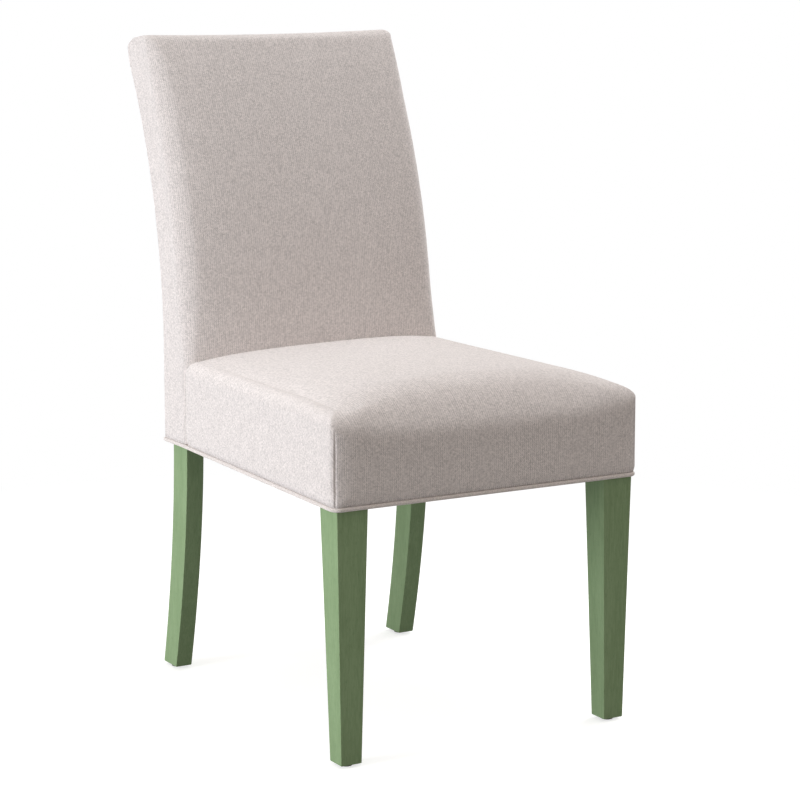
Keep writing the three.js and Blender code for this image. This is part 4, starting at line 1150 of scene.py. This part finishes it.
def panel_points():
    """The panel follows the back's rear face: an arc above the bend and straight below it. Its
    sides narrow with the back. It stands out evenly but for a rounded edge, which goes in and
    out by a small sine from stitch to stitch."""
    along = np.linspace(0, 1, panel_rows + 1)
    along = (1 - np.cos(along * np.pi)) / 2 * 0.35 + along * 0.65
    across = np.linspace(-1, 1, panel_columns + 1)
    across = np.sin(across * np.pi / 2) * 0.35 + across * 0.65
    level = (seat_bottom + (panel_high.z - seat_bottom) * along)[:, None]
    half = panel_high.x - narrowing_at(level)
    x = half * across[None, :]
    from_side = half - np.abs(x)
    from_end = np.minimum(level - seat_bottom, panel_high.z - level) + 0 * x
    edge = np.minimum(from_side, from_end)
    crown = panel_crown * (1 - (1 - np.clip(edge / 0.008, 0, 1)) ** 2)
    run = np.where(from_side < from_end, level, x)
    pull = stitch_pull * np.sin(run * 2 * np.pi / stitch_length) * np.exp(-edge / 0.004)
    y = depth_at(back_bend, level) - 0.0004 + crown + pull
    return np.stack([x, y, level + 0 * x], axis=-1)


panel = panel_points()
faces = grid_faces(*panel.shape[:2])[:, ::-1]
outside_back = mesh_piece("outside_back_linen", panel.reshape(-1, 3), faces)
panel_places = np.stack([-panel[..., 0], run_lengths(panel, 0)], axis=-1).reshape(-1, 2)
put_cloth_map(outside_back, panel_places[faces].reshape(-1, 2))
thicken(outside_back, cover_thickness)
linen.put_on(outside_back)
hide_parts("outside_back_panel")
panel_length = float(run_lengths(panel, 0)[-1].mean())

# Welt
# A cord in a bias strip of the same linen, sewn round the bottom edge of the cover. Its linen is
# painted a little lighter than the cover's, a painted highlight along the cord.
welt_radius = 0.003
welt_sides = 16
welt_stations = 720
welt_inset = 0.0013


def welt_line():
    """The welt's middle line, as a closed line of points in plan: the cover's outline moved in.
    It passes the crease between the seat and the back without turning into it."""
    rows, _ = seat_rows(welt_inset, seat_bottom)
    seat_line = rows[0][:, :2]
    seat_line = seat_line[seat_line[:, 1] < side_end + 0.0001]
    back_line = back_rows(welt_inset, seat_bottom)[0][0][:, :2]
    count = len(back_line)
    right = back_line[:count // 2 + 1]
    right = right[right[:, 1] > seat_rear + 0.004]
    left = right[::-1][1:] * np.array([-1, 1])
    crease = np.array([[seat_rear_half - welt_inset, seat_rear]])
    return np.concatenate([seat_line, crease, right, left, crease * np.array([-1, 1])])


def even_loop(points, count):
    """The same closed line with its points evenly spaced, and its length."""
    closed = np.concatenate([points, points[:1]])
    length = np.concatenate([[0], np.linalg.norm(np.diff(closed, axis=0), axis=1).cumsum()])
    wanted = np.linspace(0, length[-1], count + 1)[:-1]
    return np.stack([np.interp(wanted, length, closed[:, k]) for k in range(2)], axis=-1), length[-1]


loop, welt_length = even_loop(welt_line(), welt_stations)
ahead = np.roll(loop, -1, axis=0) - np.roll(loop, 1, axis=0)
ahead = ahead / np.linalg.norm(ahead, axis=1)[:, None]
out = np.stack([ahead[:, 1], -ahead[:, 0]], axis=-1)
angle = np.arange(welt_sides) * 2 * np.pi / welt_sides
welt_xy = loop[:, None] + out[:, None] * (welt_radius * np.cos(angle))[None, :, None]
welt_z = np.broadcast_to(rail_bottom + welt_radius * np.sin(angle), (welt_stations, welt_sides))
welt_points = np.concatenate([welt_xy, welt_z[..., None]], axis=-1)
numbers = np.arange(welt_stations * welt_sides).reshape(welt_stations, welt_sides)
following = np.roll(numbers, -1, axis=0)
welt_faces = np.stack([numbers, following, np.roll(following, -1, axis=1),
                       np.roll(numbers, -1, axis=1)], axis=-1).reshape(-1, 4)
welt = mesh_piece("covered_welt_cord", welt_points.reshape(-1, 3), welt_faces)
step = welt_length / welt_stations
girth = 2 * np.pi * welt_radius / welt_sides
start = np.stack(np.meshgrid(np.arange(welt_stations) * step, np.arange(welt_sides) * girth,
                             indexing="ij"), axis=-1)
welt_places = np.stack([start, start + [step, 0], start + [step, girth], start + [0, girth]], axis=-2)
bias = np.array([[1, -1], [1, 1]]) / math.sqrt(2)
put_cloth_map(welt, (welt_places @ bias).reshape(-1, 2))
# The welt's colour is the cover linen's made a little lighter: a painted highlight on the cord.
welt_linen_painted_highlight = linen_finish("welt_linen_painted_highlight", (0.77, 0.705, 0.675), 0.0008)
welt_linen_painted_highlight.put_on(welt)
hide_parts("welt")

# Dust cover
# Black non-woven cambric, cut out round the legs, its edge folded under and stapled to the rails.
dust_thickness = 0.0008
dust_sag = 0.0014
hem_width = 0.01
cambric = Finish("cambric", Specular_IOR_Level=0.25)
felted = cambric.noise(cambric.place((900, 900, 900)), 1.0, 4.0, 0.7)
dimples = cambric.noise(cambric.place((420, 420, 420)), 1.0, 1.0, 0.5)
black = cambric.mix(felted, (0.012, 0.012, 0.013, 1), (0.035, 0.035, 0.037, 1))
cambric.show(black, 0.85 + felted * 0.1, felted + dimples, 0.0003)
dust_low, dust_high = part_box("dust_cover")
front_leg_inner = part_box("front_leg_right")[0].x - 0.0006
front_leg_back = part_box("front_leg_right")[1].y + 0.0006
rear_leg_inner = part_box("back_post_right")[0].x - leg_widening - 0.0006
rear_leg_front = post_front - 0.0006
rear_leg_back = post_front + post_leg_depth + 0.0006
dust_edge = 0.0046


def dust_points():
    """The cover lies under the rails and sags a little between them, by the product of two
    half sines. The outer columns pass outside the legs, and the inner ones between them."""
    breaks = [dust_low.y, front_leg_back, rear_leg_front, rear_leg_back, dust_high.y]
    counts = [8, 60, 7, 3]
    y = np.concatenate([np.linspace(a, b, n + 1)[:-1] for a, b, n in zip(breaks, breaks[1:], counts)])
    y = np.append(y, dust_high.y)[:, None]
    share = np.clip((y - dust_low.y) / (rear_leg_front - dust_low.y), 0, 1)
    inner = front_leg_inner + (rear_leg_inner - front_leg_inner) * share
    outer = np.maximum(seat_half_at(np.minimum(y, seat_rear)) - dust_edge, inner + 0.001)
    corner = np.clip((y - dust_high.y + back_rear_radius) / back_rear_radius, 0, 1)
    outer = outer - back_rear_radius * (1 - np.sqrt(1 - corner ** 2))
    near = inner * np.linspace(0, 1, 29)[None, :]
    far = inner + (outer - inner) * np.linspace(0, 1, 7)[None, 1:]
    x = np.concatenate([near, far], axis=1)
    x = np.concatenate([-x[:, :0:-1], x], axis=1)
    open_x = np.clip(1 - (np.abs(x) / 0.18) ** 2, 0, 1)
    open_y = np.clip(np.sin(np.clip((y - dust_low.y - 0.03) / 0.5, 0, 1) * np.pi), 0, 1)
    z = dust_high.z - dust_thickness + 0 * x
    z = z - dust_sag * open_x * open_y
    return np.stack([x, y + 0 * x, z], axis=-1), counts


dust, counts = dust_points()
dust_rows, dust_columns = dust.shape[:2]
faces = grid_faces(dust_rows, dust_columns)
row = faces[:, 0] // dust_columns
column = faces[:, 0] % dust_columns
outside = (column < 6) | (column >= dust_columns - 7)
at_leg = (row < counts[0]) | ((row >= counts[0] + counts[1]) & (row < sum(counts[:3])))
faces = faces[~(outside & at_leg)][:, ::-1]
used = np.unique(faces)
renumber = np.full(dust_rows * dust_columns, -1)
renumber[used] = np.arange(len(used))
dust_cover = mesh_piece("dust_cover_cambric", dust.reshape(-1, 3)[used], renumber[faces])
thicken(dust_cover, dust_thickness)
cambric.put_on(dust_cover)
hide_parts("dust_cover")

# Staples
# Fine steel staples that hold the dust cover's edge, about four centimetres apart.
staple_crown = 0.0102
staple_wire = 0.0006
staple_gap = 0.038
staple_inset = 0.011
staple_sides = 6
staple_stations = 9


def staple_line(start, end):
    """Middles of a row of staples along a straight edge, evenly spaced, and the edge's direction."""
    start, end = np.asarray(start, float), np.asarray(end, float)
    length = np.linalg.norm(end - start)
    count = max(int(round(length / staple_gap)), 1)
    share = (np.arange(count) + 0.5)[:, None] / count
    middles = start + (end - start) * share
    return middles, np.broadcast_to((end - start) / length, middles.shape)


front_y = dust_low.y + staple_inset
rear_y = dust_high.y - staple_inset
edge_front = seat_half_at(front_leg_back) - dust_edge - staple_inset
edge_rear = seat_half_at(rear_leg_front) - dust_edge - staple_inset
lines = [staple_line((-front_leg_inner, front_y), (front_leg_inner, front_y)),
         staple_line((edge_front, front_leg_back + 0.01), (edge_rear, rear_leg_front - 0.01)),
         staple_line((rear_leg_inner, rear_y), (-rear_leg_inner, rear_y)),
         staple_line((-edge_rear, rear_leg_front - 0.01), (-edge_front, front_leg_back + 0.01))]
middles = np.concatenate([line[0] for line in lines])
runs = np.concatenate([line[1] for line in lines])


def staple_points(middles, runs):
    """Each staple is a round wire whose middle line is a flat arch: along the cloth, with both
    ends turned up into the wood on a quarter circle."""
    along = np.linspace(-1, 1, staple_stations)
    bent = np.clip((np.abs(along) - 0.8) / 0.2, 0, 1)
    reach = staple_crown / 2 * np.sign(along) * np.minimum(np.abs(along) / 0.9, 1)
    sink = bent ** 2 * 0.0016
    angle = np.arange(staple_sides) * 2 * np.pi / staple_sides
    side = np.stack([-runs[:, 1], runs[:, 0]], axis=-1)
    plan = middles[:, None, None] + runs[:, None, None] * reach[None, :, None, None]
    plan = plan + side[:, None, None] * (staple_wire * np.cos(angle))[None, None, :, None]
    z = dust_low.z + sink[None, :, None] + staple_wire * 0.5 * np.sin(angle)[None, None, :]
    z = np.broadcast_to(z, plan.shape[:3])
    return np.concatenate([plan, z[..., None]], axis=-1)


wires = staple_points(middles, runs)
wire_size = staple_stations * staple_sides
one_wire = np.arange(wire_size).reshape(staple_stations, staple_sides)
low, high = one_wire[:-1], one_wire[1:]
one_side = np.stack([low, np.roll(low, -1, axis=1), np.roll(high, -1, axis=1), high], axis=-1)
one_side = one_side.reshape(-1, 4)
one_end = np.stack([one_wire[0][::-1], one_wire[-1]])
each = (np.arange(len(wires)) * wire_size)[:, None, None]
staples = mesh_piece("dust_cover_staples", wires.reshape(-1, 3),
                     (one_side[None] + each).reshape(-1, 4), (one_end[None] + each).reshape(-1, 6))
screw_steel.put_on(staples)

# Room
# A white floor that runs on without an edge, a skylight above, a window low on the left, pale
# walls that send back a soft light from all round, and a little more from the right behind.
floor_reach = 14.0
floor_mesh = bpy.data.meshes.new("floor")
floor_corners = [
    (-floor_reach, -floor_reach, 0.0),
    (floor_reach, -floor_reach, 0.0),
    (floor_reach, floor_reach, 0.0),
    (-floor_reach, floor_reach, 0.0),
]
floor_mesh.from_pydata(floor_corners, [], [(0, 1, 2, 3)])
floor = bpy.data.objects.new("floor", floor_mesh)
bpy.context.scene.collection.objects.link(floor)

floor_white = bpy.data.materials.new("floor_white")
floor_white.use_nodes = True
floor_nodes = floor_white.node_tree.nodes
floor_links = floor_white.node_tree.links
floor_nodes.clear()


def floor_value(kind, operation, first, second):
    """A node that joins two values of the floor's finish."""
    made = floor_nodes.new(kind)
    made.operation = operation
    for slot, value in enumerate((first, second)):
        if value is not None:
            floor_links.new(value, made.inputs[slot])
    return made


seen = floor_nodes.new("ShaderNodeLightPath")
direct = floor_value("ShaderNodeMath", "ADD", seen.outputs["Is Camera Ray"],
                     seen.outputs["Is Glossy Ray"])
direct = floor_value("ShaderNodeMath", "ADD", direct.outputs[0], seen.outputs["Is Transmission Ray"])
direct.use_clamp = True
spot = floor_nodes.new("ShaderNodeNewGeometry")
distance = floor_value("ShaderNodeVectorMath", "DISTANCE", spot.outputs["Position"], None)
far = floor_nodes.new("ShaderNodeMapRange")
far.inputs["From Min"].default_value = 0.6
far.inputs["From Max"].default_value = 1.6
far.inputs["To Min"].default_value = 0.64
far.inputs["To Max"].default_value = 1.0
floor_links.new(distance.outputs["Value"], far.inputs["Value"])
whiteness = floor_value("ShaderNodeMath", "MULTIPLY", direct.outputs[0], far.outputs[0])
paint_shade = floor_nodes.new("ShaderNodeMix")
paint_shade.inputs[2].default_value = 0.36
paint_shade.inputs[3].default_value = 1.8
floor_links.new(direct.outputs[0], paint_shade.inputs[0])
paint = floor_nodes.new("ShaderNodeBsdfDiffuse")
floor_links.new(paint_shade.outputs[0], paint.inputs["Color"])
glow = floor_nodes.new("ShaderNodeEmission")
glow.inputs["Strength"].default_value = 1.0
mixed = floor_nodes.new("ShaderNodeMixShader")
floor_out = floor_nodes.new("ShaderNodeOutputMaterial")
floor_links.new(whiteness.outputs[0], mixed.inputs[0])
floor_links.new(paint.outputs[0], mixed.inputs[1])
floor_links.new(glow.outputs[0], mixed.inputs[2])
floor_links.new(mixed.outputs[0], floor_out.inputs["Surface"])
floor_mesh.materials.append(floor_white)

world = bpy.data.worlds.new("room")
bpy.context.scene.world = world
world.use_nodes = True
world_nodes = world.node_tree.nodes
world_links = world.node_tree.links
sky = world_nodes["Background"]
ray = world_nodes.new("ShaderNodeLightPath")
straight = world_nodes.new("ShaderNodeMath")
straight.operation = "ADD"
world_links.new(ray.outputs["Is Camera Ray"], straight.inputs[0])
world_links.new(ray.outputs["Is Glossy Ray"], straight.inputs[1])
through = world_nodes.new("ShaderNodeMath")
through.operation = "ADD"
through.use_clamp = True
world_links.new(straight.outputs[0], through.inputs[0])
world_links.new(ray.outputs["Is Transmission Ray"], through.inputs[1])
looked_at = world_nodes.new("ShaderNodeTexCoord")
upwards = world_nodes.new("ShaderNodeSeparateXYZ")
world_links.new(looked_at.outputs["Generated"], upwards.inputs[0])
ceiling = world_nodes.new("ShaderNodeMapRange")
ceiling.inputs["To Min"].default_value = 0.28
ceiling.inputs["To Max"].default_value = 0.68
world_links.new(upwards.outputs["Z"], ceiling.inputs["Value"])
level = world_nodes.new("ShaderNodeMix")
level.inputs[3].default_value = 1.0
world_links.new(ceiling.outputs[0], level.inputs[2])
world_links.new(through.outputs[0], level.inputs[0])
world_links.new(level.outputs[0], sky.inputs["Strength"])
tint = world_nodes.new("ShaderNodeMix")
tint.data_type = "RGBA"
tint.inputs[6].default_value = (1.07, 1.0, 0.93, 1.0)
tint.inputs[7].default_value = (1.0, 1.0, 1.0, 1.0)
world_links.new(through.outputs[0], tint.inputs[0])
world_links.new(tint.outputs[2], sky.inputs["Color"])


def soft_lamp(name, power, size, direction, distance, colour):
    """A square lamp that looks at the middle of the chair from a direction and distance."""
    lamp_data = bpy.data.lights.new(name, "AREA")
    lamp_data.energy = power
    lamp_data.size = size
    lamp_data.color = colour
    lamp = bpy.data.objects.new(name, lamp_data)
    direction = Vector(direction).normalized()
    lamp.location = Vector((0.0, 0.0, 0.5)) + direction * distance
    lamp.rotation_euler = direction.to_track_quat("Z", "Y").to_euler()
    bpy.context.scene.collection.objects.link(lamp)


soft_lamp("skylight", 44.0, 1.6, (0.24, 0.0, 0.97), 2.9, (0.95, 1.0, 1.05))
soft_lamp("low_window", 72.0, 1.3, (-0.998, 0.0, 0.06), 3.0, (0.95, 1.0, 1.05))
soft_lamp("right_wall", 46.0, 1.6, (0.9, 0.34, 0.12), 3.0, (1.0, 1.0, 1.0))

bpy.context.scene.view_settings.view_transform = "Standard"
